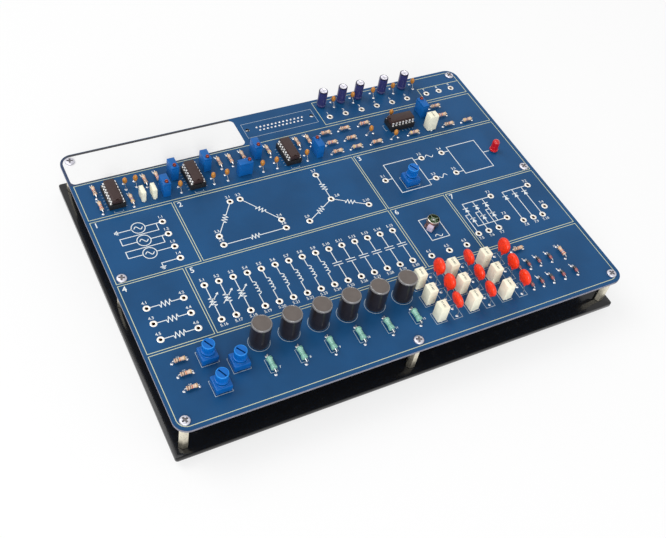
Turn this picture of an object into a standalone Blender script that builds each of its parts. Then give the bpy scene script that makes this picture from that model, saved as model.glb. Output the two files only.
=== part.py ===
"""Three-phase circuit trainer module.

A glass-fibre circuit board carries the circuits, and seven hexagonal standoffs
hold it above a black base plate on four rubber feet. The origin lies on the
ground under the middle of the base plate. +X runs along the board's length,
+Y to its rear edge and +Z up. All sizes are in metres.
"""

import math

import bmesh
import bpy
from mathutils import Matrix, Vector

# Seats and clearances
SEAT_GAP = 0.0003
RUNNING_CLEARANCE = 0.0003
CUT_OVERRUN = 0.002

# Feet and base plate
FOOT_RADIUS = 0.0062
FOOT_TIP_RADIUS = 0.0052
FOOT_HEIGHT = 0.0040
FOOT_INSET = 0.0110
PLATE_OVERHANG = 0.0005
PLATE_THICKNESS = 0.0030
PLATE_CORNER = 0.0015
WINDOW_MARGIN = 0.0030

# Standoffs
STANDOFF_ACROSS_FLATS = 0.0050
STANDOFF_HEIGHT = 0.0220
STANDOFF_BORE_DEPTH = 0.0080
STANDOFF_INSET = 0.0062
STUD_RADIUS = 0.0015
COUNTERSUNK_RADIUS = 0.0028
COUNTERSUNK_DEPTH = 0.0013
SCREW_HOLE_RADIUS = 0.0016

# Circuit board
BOARD_LENGTH = 0.290
BOARD_WIDTH = 0.207
BOARD_THICKNESS = 0.0016
BOARD_CORNER = 0.0080
LEAD_SINK = 0.0008
LEAD_RADIUS = 0.00035
TERMINAL_HOLE_RADIUS = 0.0010
TERMINAL_COUNT = 15

# Axial parts: body radius, body length, lead pitch, height of the axis
RESISTOR_RADIUS = 0.0012
RESISTOR_BODY = 0.0062
RESISTOR_PITCH = 0.0085
LONG_RESISTOR_PITCH = 0.0100
RESISTOR_LIFT = 0.0021
DIODE_RADIUS = 0.0010
DIODE_BODY = 0.0038
DIODE_PITCH = 0.0070
DIODE_LIFT = 0.0016
CHOKE_RADIUS = 0.0019
CHOKE_BODY = 0.0076
CHOKE_PITCH = 0.0123
CHOKE_LIFT = 0.0024

# Upright parts soldered to the board
INDUCTOR_RADIUS = 0.0058
INDUCTOR_HEIGHT = 0.0176
INDUCTOR_RIM = 0.0007
INDUCTOR_RECESS = 0.0004
INDUCTOR_COUNT = 6
FILM_LENGTH = 0.0056
FILM_DEPTH = 0.0066
FILM_HEIGHT = 0.0125
SMALL_FILM_LENGTH = 0.0026
SMALL_FILM_DEPTH = 0.0068
SMALL_FILM_HEIGHT = 0.0080
LARGE_FILM_LENGTH = 0.0066
LARGE_FILM_DEPTH = 0.0058
LARGE_FILM_HEIGHT = 0.0125
FILM_EDGE = 0.0005
DISC_RADIUS = 0.0050
DISC_THICKNESS = 0.0036
DISC_LIFT = 0.0130
DISC_LEAD_PITCH = 0.0053
DISC_LEAD_INSET = 0.0016
DROP_RADIUS = 0.0017
DROP_HEIGHT = 0.0046
DROP_LIFT = 0.0054
DROP_LEAD_PITCH = 0.0051
DROP_LEAD_INSET = 0.0007

# Integrated circuits in sockets
PIN_PITCH = 0.00254
PIN_ROW_SPAN = 0.00762
PINS_PER_ROW = 7
PIN_WIDTH = 0.0006
PIN_THICKNESS = 0.0003
CHIP_LENGTH = 0.0181
CHIP_WIDTH = 0.0066
CHIP_HEIGHT = 0.0034
CHIP_NOTCH_RADIUS = 0.0008
CHIP_NOTCH_DEPTH = 0.0005
CHIP_EDGE = 0.0003
SOCKET_LENGTH = 0.0179
SOCKET_WIDTH = 0.0102
SOCKET_HEIGHT = 0.0042
SOCKET_OPENING_LENGTH = 0.0120
SOCKET_OPENING_WIDTH = 0.0036
PIN_ENTRY = 0.0016

# Multi-turn trimmers
TRIMMER_LENGTH = 0.0092
TRIMMER_WIDTH = 0.0048
TRIMMER_HEIGHT = 0.0106
TRIMMER_EDGE = 0.0003
TRIMMER_FOOT = 0.0012
TRIMMER_FOOT_HEIGHT = 0.0005
TRIMMER_SCREW_INSET = 0.0019
TRIMMER_SCREW_RADIUS = 0.0011
TRIMMER_SCREW_PROUD = 0.0014
TRIMMER_SCREW_REACH = 0.0030
TRIMMER_SLOT_WIDTH = 0.0005
TRIMMER_SLOT_DEPTH = 0.0006

# Square potentiometers with slotted knobs
POT_SIDE = 0.0095
POT_HEIGHT = 0.0052
POT_EDGE = 0.0007
POT_COLLAR_RADIUS = 0.0042
POT_COLLAR_HEIGHT = 0.0008
POT_SHAFT_RADIUS = 0.0015
POT_SHAFT_REACH = 0.0030
KNOB_RADIUS = 0.0036
KNOB_HEIGHT = 0.0062
KNOB_EDGE = 0.0004
KNOB_SKIRT = 0.0008
KNOB_SKIRT_RADIUS = 0.0038
KNOB_SLOT_WIDTH = 0.0011
KNOB_SLOT_DEPTH = 0.0014
POT_RANGE_DEGREES = 280

# Electrolytic capacitors
CAN_RADIUS = 0.0031
CAN_HEIGHT = 0.0131
CAN_EDGE = 0.0005
CAN_GROOVE_HEIGHT = 0.0018
CAN_GROOVE_WIDTH = 0.0010
CAN_GROOVE_DEPTH = 0.0004

# Light-emitting diode
LED_RADIUS = 0.0025
LED_FLANGE_RADIUS = 0.0029
LED_FLANGE_HEIGHT = 0.0010
LED_HEIGHT = 0.0086
LED_LIFT = 0.0014
LED_LEAD_PITCH = 0.00254
LED_LEAD_RADIUS = 0.00028
LED_LEAD_TAIL = 0.0012
LED_DOME_STEPS = 4

# Miniature three-phase motor
MOTOR_RADIUS = 0.0040
MOTOR_BASE_WIDTH = 0.0066
MOTOR_BASE_THICKNESS = 0.0008
MOTOR_BASE_CORNER = 0.0012
MOTOR_TAB_LENGTH = 0.0026
MOTOR_TAB_WIDTH = 0.0046
MOTOR_TAB_HEIGHT = 0.0038
MOTOR_TAB_ASIDE = 0.0018
MOTOR_TURN_DEGREES = 31
MOTOR_COIL_RADIUS = 0.0031
MOTOR_COIL_HEIGHT = 0.0030
MOTOR_POST_RADIUS = 0.0007
BELL_HEIGHT = 0.0041
BELL_WALL = 0.0005
BELL_TOP = 0.0005
BELL_RECESS = 0.0005
BELL_EDGE = 0.0003

# 25-way connector under the board, sized by its row of contacts
CONTACTS_LONG_ROW = 13
CONTACT_PITCH = 0.00277
CONTACT_ROW_SPAN = 0.00284
SHELL_END = 0.00258
SHELL_LENGTH = (CONTACTS_LONG_ROW - 1) * CONTACT_PITCH + 2 * SHELL_END
FLANGE_HOLE_OFFSET = 0.0043
FLANGE_HOLE_SPACING = SHELL_LENGTH + 2 * FLANGE_HOLE_OFFSET
FLANGE_EAR = 0.00305
FLANGE_LENGTH = FLANGE_HOLE_SPACING + 2 * FLANGE_EAR
FLANGE_WIDTH = 0.0125
FLANGE_THICKNESS = 0.0008
FLANGE_CORNER = 0.0015
FLANGE_HOLE_RADIUS = 0.0015
SHELL_WIDTH = 0.0079
SHELL_WALL = 0.0005
SHELL_DEPTH = 0.0060
SHELL_CORNER = 0.0024
SHELL_TAPER = 0.0013
BLOCK_END = 0.0013
BLOCK_LENGTH = SHELL_LENGTH + 2 * BLOCK_END
BLOCK_WIDTH = 0.0098
BLOCK_HEIGHT = 0.0042
SOLDER_RADIUS = 0.0008
SOLDER_HEIGHT = 0.0009

# Facets of the turned pieces
FINE_SIDES = 20
ROUND_SIDES = 16
SMALL_SIDES = 12
TINY_SIDES = 6

# Places on the board, as shares of its length and width
TERMINAL_ROW_START_SHARE = 0.165
TERMINAL_ROW_PITCH_SHARE = 0.0304
TERMINAL_ROW_SHARES = (0.404, 0.282)
TERMINAL_SHARES = (
    (0.146, 0.659), (0.146, 0.611), (0.146, 0.561), (0.146, 0.517),
    (0.298, 0.668), (0.321, 0.668), (0.240, 0.553), (0.240, 0.519),
    (0.380, 0.553), (0.380, 0.519), (0.507, 0.685), (0.507, 0.579),
    (0.435, 0.520), (0.578, 0.521),
    (0.623, 0.910), (0.664, 0.910), (0.707, 0.910), (0.749, 0.910),
    (0.791, 0.910), (0.833, 0.910), (0.889, 0.913), (0.924, 0.913),
    (0.959, 0.913),
    (0.648, 0.593), (0.762, 0.643), (0.762, 0.551), (0.817, 0.643),
    (0.817, 0.551),
    (0.042, 0.383), (0.117, 0.383), (0.042, 0.330), (0.117, 0.330),
    (0.042, 0.277), (0.117, 0.277),
    (0.635, 0.278), (0.679, 0.278), (0.723, 0.278),
    (0.853, 0.425), (0.853, 0.331), (0.955, 0.425), (0.955, 0.331),
    (0.765, 0.304), (0.792, 0.304), (0.818, 0.304), (0.884, 0.304),
    (0.910, 0.304), (0.936, 0.304),
)
UPRIGHT_RESISTOR_SHARES = (
    (0.041, 0.829), (0.041, 0.764), (0.106, 0.764), (0.150, 0.825),
    (0.178, 0.826), (0.319, 0.825), (0.345, 0.825), (0.376, 0.828),
    (0.436, 0.825), (0.509, 0.828), (0.537, 0.828), (0.908, 0.155),
)
LEVEL_RESISTOR_SHARES = (
    (0.585, 0.838), (0.585, 0.792), (0.585, 0.751), (0.634, 0.839),
    (0.634, 0.793), (0.634, 0.751), (0.686, 0.840), (0.686, 0.750),
    (0.785, 0.750), (0.881, 0.841), (0.881, 0.795), (0.881, 0.749),
    (0.932, 0.748), (0.057, 0.196), (0.057, 0.153), (0.057, 0.109),
    (0.819, 0.207),
)
DIODE_SHARES = (
    (0.794, 0.149), (0.819, 0.149), (0.845, 0.149), (0.875, 0.149),
    (0.794, 0.081), (0.819, 0.081), (0.845, 0.081), (0.875, 0.081),
    (0.908, 0.081),
)
UPRIGHT_DROP_SHARES = (
    (0.107, 0.824), (0.130, 0.824), (0.212, 0.761), (0.287, 0.761),
    (0.318, 0.761), (0.402, 0.761), (0.435, 0.761), (0.509, 0.761),
)
LEVEL_DROP_SHARES = (
    (0.686, 0.795), (0.758, 0.844), (0.735, 0.752),
)
REAR_DROP_SHARES = (
    (0.647, 0.960), (0.6985, 0.960), (0.754, 0.960), (0.809, 0.960),
    (0.864, 0.960),
)
FILM_COLUMN_SHARES = (0.566, 0.643, 0.723)
FILM_ROW_SHARES = (0.077, 0.140, 0.198)
DISC_COLUMN_SHARES = (0.604, 0.682, 0.762)
DISC_ROW_SHARES = (0.077, 0.139, 0.197)
SMALL_FILM_SHARES = ((0.130, 0.763), (0.154, 0.763))
LARGE_FILM_SHARES = ((0.832, 0.760),)
INDUCTOR_START_SHARES = (0.210, 0.179)
CHOKE_START_SHARES = (0.210, 0.101)
INDUCTOR_PITCH_SHARE = 0.0625
CHIP_SHARES = (
    (0.0733, 0.788, False), (0.249, 0.788, False), (0.475, 0.789, False),
    (0.7665, 0.804, True),
)
TRIMMER_SHARES = (
    (0.180, 0.769, 270), (0.212, 0.824, 270), (0.287, 0.827, 270),
    (0.360, 0.763, 0), (0.406, 0.827, 270), (0.540, 0.772, 90),
    (0.837, 0.832, 90),
)
POT_SHARES = (
    (0.6991, 0.5651), (0.1073, 0.1835), (0.1564, 0.1359),
    (0.107, 0.0905),
)
KNOB_TURNS_DEGREES = (-60, -62, -56, -64)
CAN_COLUMN_SHARES = (0.6193, 0.671, 0.7165, 0.7813, 0.838)
CAN_ROW_SHARE = 0.9675
LED_SHARES = (0.939, 0.597)
MOTOR_SHARES = (0.6805, 0.3843)
CONNECTOR_SHARES = (0.5015, 0.930)

# The base plate follows the board's outline
PLATE_LENGTH = BOARD_LENGTH + 2 * PLATE_OVERHANG
PLATE_WIDTH = BOARD_WIDTH + 2 * PLATE_OVERHANG

# Levels up the stack
PLATE_BOTTOM = FOOT_HEIGHT + SEAT_GAP
PLATE_TOP = PLATE_BOTTOM + PLATE_THICKNESS
STANDOFF_BOTTOM = PLATE_TOP + SEAT_GAP
STANDOFF_TOP = STANDOFF_BOTTOM + STANDOFF_HEIGHT
BOARD_BOTTOM = STANDOFF_TOP + SEAT_GAP
BOARD_TOP = BOARD_BOTTOM + BOARD_THICKNESS
SEAT_ON_BOARD = BOARD_TOP + SEAT_GAP

MERGE = 0.00001


def clear_scene():
    """Remove whatever the file opened with."""
    for obj in list(bpy.data.objects):
        bpy.data.objects.remove(obj, do_unlink=True)


def new_collection(name):
    collection = bpy.data.collections.new(name)
    bpy.context.scene.collection.children.link(collection)
    return collection


def material(name, colour, roughness, metallic=0.0):
    """A Principled material in one plain colour."""
    made = bpy.data.materials.new(name)
    made.use_nodes = True
    shader = made.node_tree.nodes["Principled BSDF"]
    shader.inputs["Base Color"].default_value = (*colour, 1.0)
    shader.inputs["Roughness"].default_value = roughness
    shader.inputs["Metallic"].default_value = metallic
    made.diffuse_color = (*colour, 1.0)
    return made


def across_flats_radius(across_flats):
    """Corner radius of a hexagon that measures this across its flats."""
    return across_flats / 2 / math.cos(math.pi / TINY_SIDES)


def mesh_from(bm, name):
    mesh = bpy.data.meshes.new(name)
    bmesh.ops.recalc_face_normals(bm, faces=bm.faces)
    bm.to_mesh(mesh)
    bm.free()
    return mesh


def box(name, size, centre, edge=0.0, upright_only=False, segments=1):
    """A block of the given size, with its edges broken where edge is set."""
    bm = bmesh.new()
    place = Matrix.Translation(centre) @ Matrix.Diagonal((*size, 1))
    bmesh.ops.create_cube(bm, size=1, matrix=place)
    if edge:
        edges = bm.edges[:]
        if upright_only:
            edges = [e for e in edges if is_upright(e)]
        bmesh.ops.bevel(
            bm, geom=edges, offset=edge, segments=segments, profile=0.5,
            affect="EDGES",
        )
    return mesh_from(bm, name)


def is_upright(edge):
    low, high = edge.verts
    run = (high.co - low.co).xy.length
    return run < abs(high.co.z - low.co.z)


def rod(name, radius, low, high, sides, centre=(0, 0), tip_radius=None):
    """A standing cylinder or cone between two heights."""
    bm = bmesh.new()
    tip = radius if tip_radius is None else tip_radius
    middle = Vector((*centre, (low + high) / 2))
    bmesh.ops.create_cone(
        bm, cap_ends=True, segments=sides, radius1=radius, radius2=tip,
        depth=high - low, matrix=Matrix.Translation(middle),
    )
    return mesh_from(bm, name)


def lying_rod(name, radius, length, height, sides):
    """A cylinder along X at a height above the board."""
    bm = bmesh.new()
    place = Matrix.Translation((0, 0, height))
    place = place @ Matrix.Rotation(math.pi / 2, 4, "Y")
    place = place @ Matrix.Rotation(math.pi / sides, 4, "Z")
    bmesh.ops.create_cone(
        bm, cap_ends=True, segments=sides, radius1=radius, radius2=radius,
        depth=length, matrix=place,
    )
    return mesh_from(bm, name)


def turned(name, profile, sides):
    """Revolve a profile that runs from the top down its outer side."""
    bm = bmesh.new()
    verts = [bm.verts.new((radius, 0, height)) for radius, height in profile]
    for above, below in zip(verts, verts[1:]):
        bm.edges.new((above, below))
    mesh = bpy.data.meshes.new(name)
    bm.to_mesh(mesh)
    bm.free()
    obj = bpy.data.objects.new(name, mesh)
    bpy.context.scene.collection.objects.link(obj)
    screw = obj.modifiers.new("Turn", "SCREW")
    screw.steps = sides
    screw.render_steps = sides
    screw.use_merge_vertices = True
    screw.merge_threshold = MERGE
    return evaluated(obj, name)


def wire(name, points, radius, resolution=0):
    """A round wire through the points, as a mesh with welded caps."""
    curve = bpy.data.curves.new(name, "CURVE")
    curve.dimensions = "3D"
    curve.bevel_depth = radius
    curve.bevel_resolution = resolution
    curve.use_fill_caps = True
    spline = curve.splines.new("POLY")
    spline.points.add(len(points) - 1)
    for slot, point in zip(spline.points, points):
        slot.co = (*point, 1)
    obj = bpy.data.objects.new(name, curve)
    bpy.context.scene.collection.objects.link(obj)
    mesh = evaluated(obj, name)
    bm = bmesh.new()
    bm.from_mesh(mesh)
    bmesh.ops.remove_doubles(bm, verts=bm.verts, dist=MERGE)
    return mesh_from(bm, name)


def evaluated(obj, name):
    """The mesh that an object's modifiers give; the object goes."""
    graph = bpy.context.evaluated_depsgraph_get()
    graph.update()
    mesh = bpy.data.meshes.new_from_object(obj.evaluated_get(graph))
    mesh.name = name
    bpy.data.objects.remove(obj, do_unlink=True)
    return mesh


def combined(name, base, tool, operation):
    """Union or difference of two meshes with the exact solver."""
    first = bpy.data.objects.new(name, base)
    second = bpy.data.objects.new(name + "_tool", tool)
    bpy.context.scene.collection.objects.link(first)
    bpy.context.scene.collection.objects.link(second)
    step = first.modifiers.new(operation.title(), "BOOLEAN")
    step.operation = operation
    step.solver = "EXACT"
    step.use_self = True
    step.object = second
    mesh = evaluated(first, name)
    bpy.data.objects.remove(second, do_unlink=True)
    return mesh


def union(name, first, *others):
    for other in others:
        first = combined(name, first, other, "UNION")
    return first


def minus(name, first, *cuts):
    for cut in cuts:
        first = combined(name, first, cut, "DIFFERENCE")
    return first


def gathered(name, placed):
    """Join copies of meshes that stand clear of each other into one."""
    bm = bmesh.new()
    for mesh, place in placed:
        copy = mesh.copy()
        copy.transform(place)
        bm.from_mesh(copy)
        bpy.data.meshes.remove(copy)
    mesh = bpy.data.meshes.new(name)
    bm.to_mesh(mesh)
    bm.free()
    return mesh


def node(name, mesh, look, collection, place=None, smooth=True):
    """One named piece in the collection, at its place."""
    obj = bpy.data.objects.new(name, mesh)
    collection.objects.link(obj)
    obj.matrix_world = place or Matrix()
    mesh.materials.clear()
    mesh.materials.append(look)
    if smooth:
        mesh.shade_smooth()
        mesh.set_sharp_from_angle(angle=math.radians(35))
    return obj


def at_board(x_share, y_share, height=BOARD_TOP, turn=0):
    """Placement on the board from shares of its length and width."""
    x = (x_share - 0.5) * BOARD_LENGTH
    y = (y_share - 0.5) * BOARD_WIDTH
    spin = Matrix.Rotation(math.radians(turn), 4, "Z")
    return Matrix.Translation((x, y, height)) @ spin


def standoff_places():
    """Corners and mid-sides, without one behind the connector."""
    x = BOARD_LENGTH / 2 - STANDOFF_INSET
    y = BOARD_WIDTH / 2 - STANDOFF_INSET
    return {
        "front_left": (-x, -y),
        "front_middle": (0, -y),
        "front_right": (x, -y),
        "middle_left": (-x, 0),
        "middle_right": (x, 0),
        "rear_left": (-x, y),
        "rear_right": (x, y),
    }


def foot_places():
    x = PLATE_LENGTH / 2 - FOOT_INSET
    y = PLATE_WIDTH / 2 - FOOT_INSET
    return {
        "front_left": (-x, -y),
        "front_right": (x, -y),
        "rear_left": (-x, y),
        "rear_right": (x, y),
    }


def connector_centre():
    return at_board(*CONNECTOR_SHARES, 0).translation


def build_base(collection):
    """Black plate on rubber feet."""
    black = material("black_acrylic", (0.012, 0.012, 0.014), 0.12)
    rubber = material("rubber", (0.02, 0.02, 0.02), 0.8)
    middle = (PLATE_BOTTOM + PLATE_TOP) / 2
    plate = box(
        "base_plate", (PLATE_LENGTH, PLATE_WIDTH, PLATE_THICKNESS),
        (0, 0, middle), PLATE_CORNER, True, 2,
    )
    low = PLATE_BOTTOM - CUT_OVERRUN
    high = PLATE_TOP + CUT_OVERRUN
    slack = RUNNING_CLEARANCE
    shoulder = PLATE_BOTTOM + COUNTERSUNK_DEPTH + slack / 2
    bore = turned(
        "countersunk_bore",
        (
            (0, high),
            (STUD_RADIUS + slack, high),
            (STUD_RADIUS + slack, shoulder),
            (COUNTERSUNK_RADIUS + slack, PLATE_BOTTOM + slack / 2),
            (COUNTERSUNK_RADIUS + slack, low),
            (0, low),
        ),
        SMALL_SIDES,
    )
    cuts = [
        (bore, Matrix.Translation((x, y, 0)))
        for x, y in standoff_places().values()
    ]
    window = box(
        "plug_window",
        (
            FLANGE_LENGTH + 2 * WINDOW_MARGIN,
            FLANGE_WIDTH + 2 * WINDOW_MARGIN,
            PLATE_THICKNESS + 2 * CUT_OVERRUN,
        ),
        (0, 0, middle), PLATE_CORNER, True, 2,
    )
    cuts.append((window, Matrix.Translation(connector_centre())))
    plate = minus("base_plate", plate, gathered("plate_cuts", cuts))
    node("base_plate", plate, black, collection)

    foot = turned(
        "rubber_foot",
        (
            (0, FOOT_HEIGHT),
            (FOOT_RADIUS, FOOT_HEIGHT),
            (FOOT_RADIUS, FOOT_HEIGHT / 2),
            (FOOT_TIP_RADIUS, 0),
            (0, 0),
        ),
        ROUND_SIDES,
    )
    for where, (x, y) in foot_places().items():
        node("foot_" + where, foot, rubber, collection,
             Matrix.Translation((x, y, 0)))


def build_fasteners(collection):
    """Brass standoffs, each held by a countersunk screw from below."""
    brass = material("pale_brass", (0.74, 0.66, 0.44), 0.3, 1.0)
    body = rod(
        "standoff", across_flats_radius(STANDOFF_ACROSS_FLATS),
        STANDOFF_BOTTOM, STANDOFF_TOP, TINY_SIDES,
    )
    stud = turned(
        "countersunk_screw",
        (
            (0, STANDOFF_BOTTOM + STUD_RADIUS),
            (STUD_RADIUS, STANDOFF_BOTTOM + STUD_RADIUS),
            (STUD_RADIUS, PLATE_BOTTOM + COUNTERSUNK_DEPTH),
            (COUNTERSUNK_RADIUS, PLATE_BOTTOM),
            (0, PLATE_BOTTOM),
        ),
        SMALL_SIDES,
    )
    bore = rod(
        "bore", SCREW_HOLE_RADIUS,
        STANDOFF_TOP - STANDOFF_BORE_DEPTH, STANDOFF_TOP + CUT_OVERRUN,
        SMALL_SIDES,
    )
    spacer = minus("standoff", union("standoff", body, stud), bore)

    for where, (x, y) in standoff_places().items():
        node("standoff_" + where, spacer, brass, collection,
             Matrix.Translation((x, y, 0)), smooth=False)


def axial(name, radius, length, pitch, lift):
    """A lying body whose wire bends down into the board."""
    reach = pitch / 2
    lead = wire(
        name + "_lead",
        (
            (-reach, 0, -LEAD_SINK), (-reach, 0, lift),
            (reach, 0, lift), (reach, 0, -LEAD_SINK),
        ),
        LEAD_RADIUS,
    )
    body = lying_rod(name, radius, length, lift, TINY_SIDES)
    return union(name, body, lead)


def dipped(name, radius, thickness, height, lift, pitch, inset):
    """A dipped body on two legs that spread to their pads."""
    bm = bmesh.new()
    size = Matrix.Diagonal((2 * radius, thickness, height, 1))
    place = Matrix.Translation((0, 0, lift)) @ size
    turn = Matrix.Rotation(math.pi / 8, 4, "Z")
    bmesh.ops.create_uvsphere(
        bm, u_segments=8, v_segments=5, radius=0.5, matrix=place @ turn,
    )
    body = mesh_from(bm, name)
    for side in (-1, 1):
        leg = wire(
            name + "_leg",
            (
                (side * inset, 0, lift),
                (side * pitch / 2, 0, -LEAD_SINK),
            ),
            LEAD_RADIUS,
        )
        body = union(name, body, leg)
    return body


def film(name, length, depth, height):
    """A moulded box capacitor with its top edges broken."""
    middle = (height - LEAD_SINK) / 2
    return box(
        name, (length, depth, height + LEAD_SINK), (0, 0, middle),
        FILM_EDGE,
    )


def build_inductors(collection):
    """Sleeved cores, set just below the rim of their sleeves."""
    black = material("inductor_black", (0.02, 0.02, 0.024), 0.4)
    inner = INDUCTOR_RADIUS - INDUCTOR_RIM
    core = turned(
        "inductor",
        (
            (0, INDUCTOR_HEIGHT - INDUCTOR_RECESS),
            (inner, INDUCTOR_HEIGHT - INDUCTOR_RECESS),
            (inner, INDUCTOR_HEIGHT),
            (INDUCTOR_RADIUS, INDUCTOR_HEIGHT),
            (INDUCTOR_RADIUS, 0),
            (0, 0),
        ),
        ROUND_SIDES,
    )
    for number, (x, y) in enumerate(spread(INDUCTOR_START_SHARES), 1):
        node("inductor_%d" % number, core, black, collection,
             at_board(x, y, SEAT_ON_BOARD))


def soldered_parts():
    """Every part soldered flat to the board, with its placement."""
    short = axial("resistor", RESISTOR_RADIUS, RESISTOR_BODY,
                  RESISTOR_PITCH, RESISTOR_LIFT)
    long = axial("resistor", RESISTOR_RADIUS, RESISTOR_BODY,
                 LONG_RESISTOR_PITCH, RESISTOR_LIFT)
    diode = axial("diode", DIODE_RADIUS, DIODE_BODY, DIODE_PITCH,
                  DIODE_LIFT)
    choke = axial("choke", CHOKE_RADIUS, CHOKE_BODY, CHOKE_PITCH,
                  CHOKE_LIFT)
    disc = dipped("disc", DISC_RADIUS, DISC_THICKNESS, 2 * DISC_RADIUS,
                  DISC_LIFT, DISC_LEAD_PITCH, DISC_LEAD_INSET)
    drop = dipped("drop", DROP_RADIUS, 2 * DROP_RADIUS, DROP_HEIGHT,
                  DROP_LIFT, DROP_LEAD_PITCH, DROP_LEAD_INSET)
    block = film("film", FILM_LENGTH, FILM_DEPTH, FILM_HEIGHT)
    small = film("small_film", SMALL_FILM_LENGTH, SMALL_FILM_DEPTH,
                 SMALL_FILM_HEIGHT)
    large = film("large_film", LARGE_FILM_LENGTH, LARGE_FILM_DEPTH,
                 LARGE_FILM_HEIGHT)
    placed = []

    def put(mesh, shares, turn=0):
        placed.extend(
            (mesh, at_board(x, y, BOARD_TOP, turn)) for x, y in shares
        )

    put(long, UPRIGHT_RESISTOR_SHARES, 90)
    put(short, LEVEL_RESISTOR_SHARES)
    put(diode, DIODE_SHARES, 90)
    put(drop, UPRIGHT_DROP_SHARES, 90)
    put(drop, LEVEL_DROP_SHARES)
    put(drop, REAR_DROP_SHARES, 90)
    put(small, SMALL_FILM_SHARES)
    put(large, LARGE_FILM_SHARES)
    put(block, [(x, y) for x in FILM_COLUMN_SHARES for y in FILM_ROW_SHARES])
    put(disc, [(x, y) for x in DISC_COLUMN_SHARES for y in DISC_ROW_SHARES],
        90)
    put(choke, spread(CHOKE_START_SHARES), 90)
    placed.extend(solder_points())
    return placed


def spread(start):
    """Shares of the evenly spaced row that begins at a place."""
    x, y = start
    return [
        (x + number * INDUCTOR_PITCH_SHARE, y)
        for number in range(INDUCTOR_COUNT)
    ]


def solder_points():
    """Solder cones where the connector's contacts come through."""
    cone = rod("solder", SOLDER_RADIUS, -LEAD_SINK, SOLDER_HEIGHT,
               4, tip_radius=LEAD_RADIUS)
    centre = at_board(*CONNECTOR_SHARES)
    points = []
    for row, count in ((1, CONTACTS_LONG_ROW), (-1, CONTACTS_LONG_ROW - 1)):
        for number in range(count):
            x = (number - (count - 1) / 2) * CONTACT_PITCH
            y = row * CONTACT_ROW_SPAN / 2
            points.append((cone, centre @ Matrix.Translation((x, y, 0))))
    return points


def drilled_holes():
    """Sockets of the terminals, screw holes and lead holes."""
    low = BOARD_BOTTOM - CUT_OVERRUN
    high = BOARD_TOP + CUT_OVERRUN
    socket = rod("terminal_hole", TERMINAL_HOLE_RADIUS, low, high,
                 TINY_SIDES)
    screw = rod("screw_hole", SCREW_HOLE_RADIUS, low, high, SMALL_SIDES)
    lock = rod("lock_hole", FLANGE_HOLE_RADIUS, low, high, SMALL_SIDES)
    lead = rod("lead_hole", LED_LEAD_RADIUS + RUNNING_CLEARANCE, low, high,
               TINY_SIDES)
    holes = [(socket, at_board(x, y, 0)) for x, y in TERMINAL_SHARES]
    for y_share in TERMINAL_ROW_SHARES:
        for number in range(TERMINAL_COUNT):
            x_share = (TERMINAL_ROW_START_SHARE
                       + number * TERMINAL_ROW_PITCH_SHARE)
            holes.append((socket, at_board(x_share, y_share, 0)))
    for x, y in standoff_places().values():
        holes.append((screw, Matrix.Translation((x, y, 0))))
    for side in (-1, 1):
        shift = Matrix.Translation((side * FLANGE_HOLE_SPACING / 2, 0, 0))
        holes.append((lock, at_board(*CONNECTOR_SHARES, 0) @ shift))
        shift = Matrix.Translation((side * LED_LEAD_PITCH / 2, 0, 0))
        holes.append((lead, at_board(*LED_SHARES, 0) @ shift))
    return holes


def build_board(collection):
    """The board with its small soldered parts and drilled terminals."""
    blue = material("board_blue", (0.022, 0.09, 0.22), 0.32)
    middle = (BOARD_BOTTOM + BOARD_TOP) / 2
    board = box(
        "circuit_board", (BOARD_LENGTH, BOARD_WIDTH, BOARD_THICKNESS),
        (0, 0, middle), BOARD_CORNER, True, 5,
    )
    board = minus("circuit_board", board,
                  gathered("board_cuts", drilled_holes()))
    board = union("circuit_board", board,
                  gathered("soldered", soldered_parts()))
    node("circuit_board", board, blue, collection)


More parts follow.
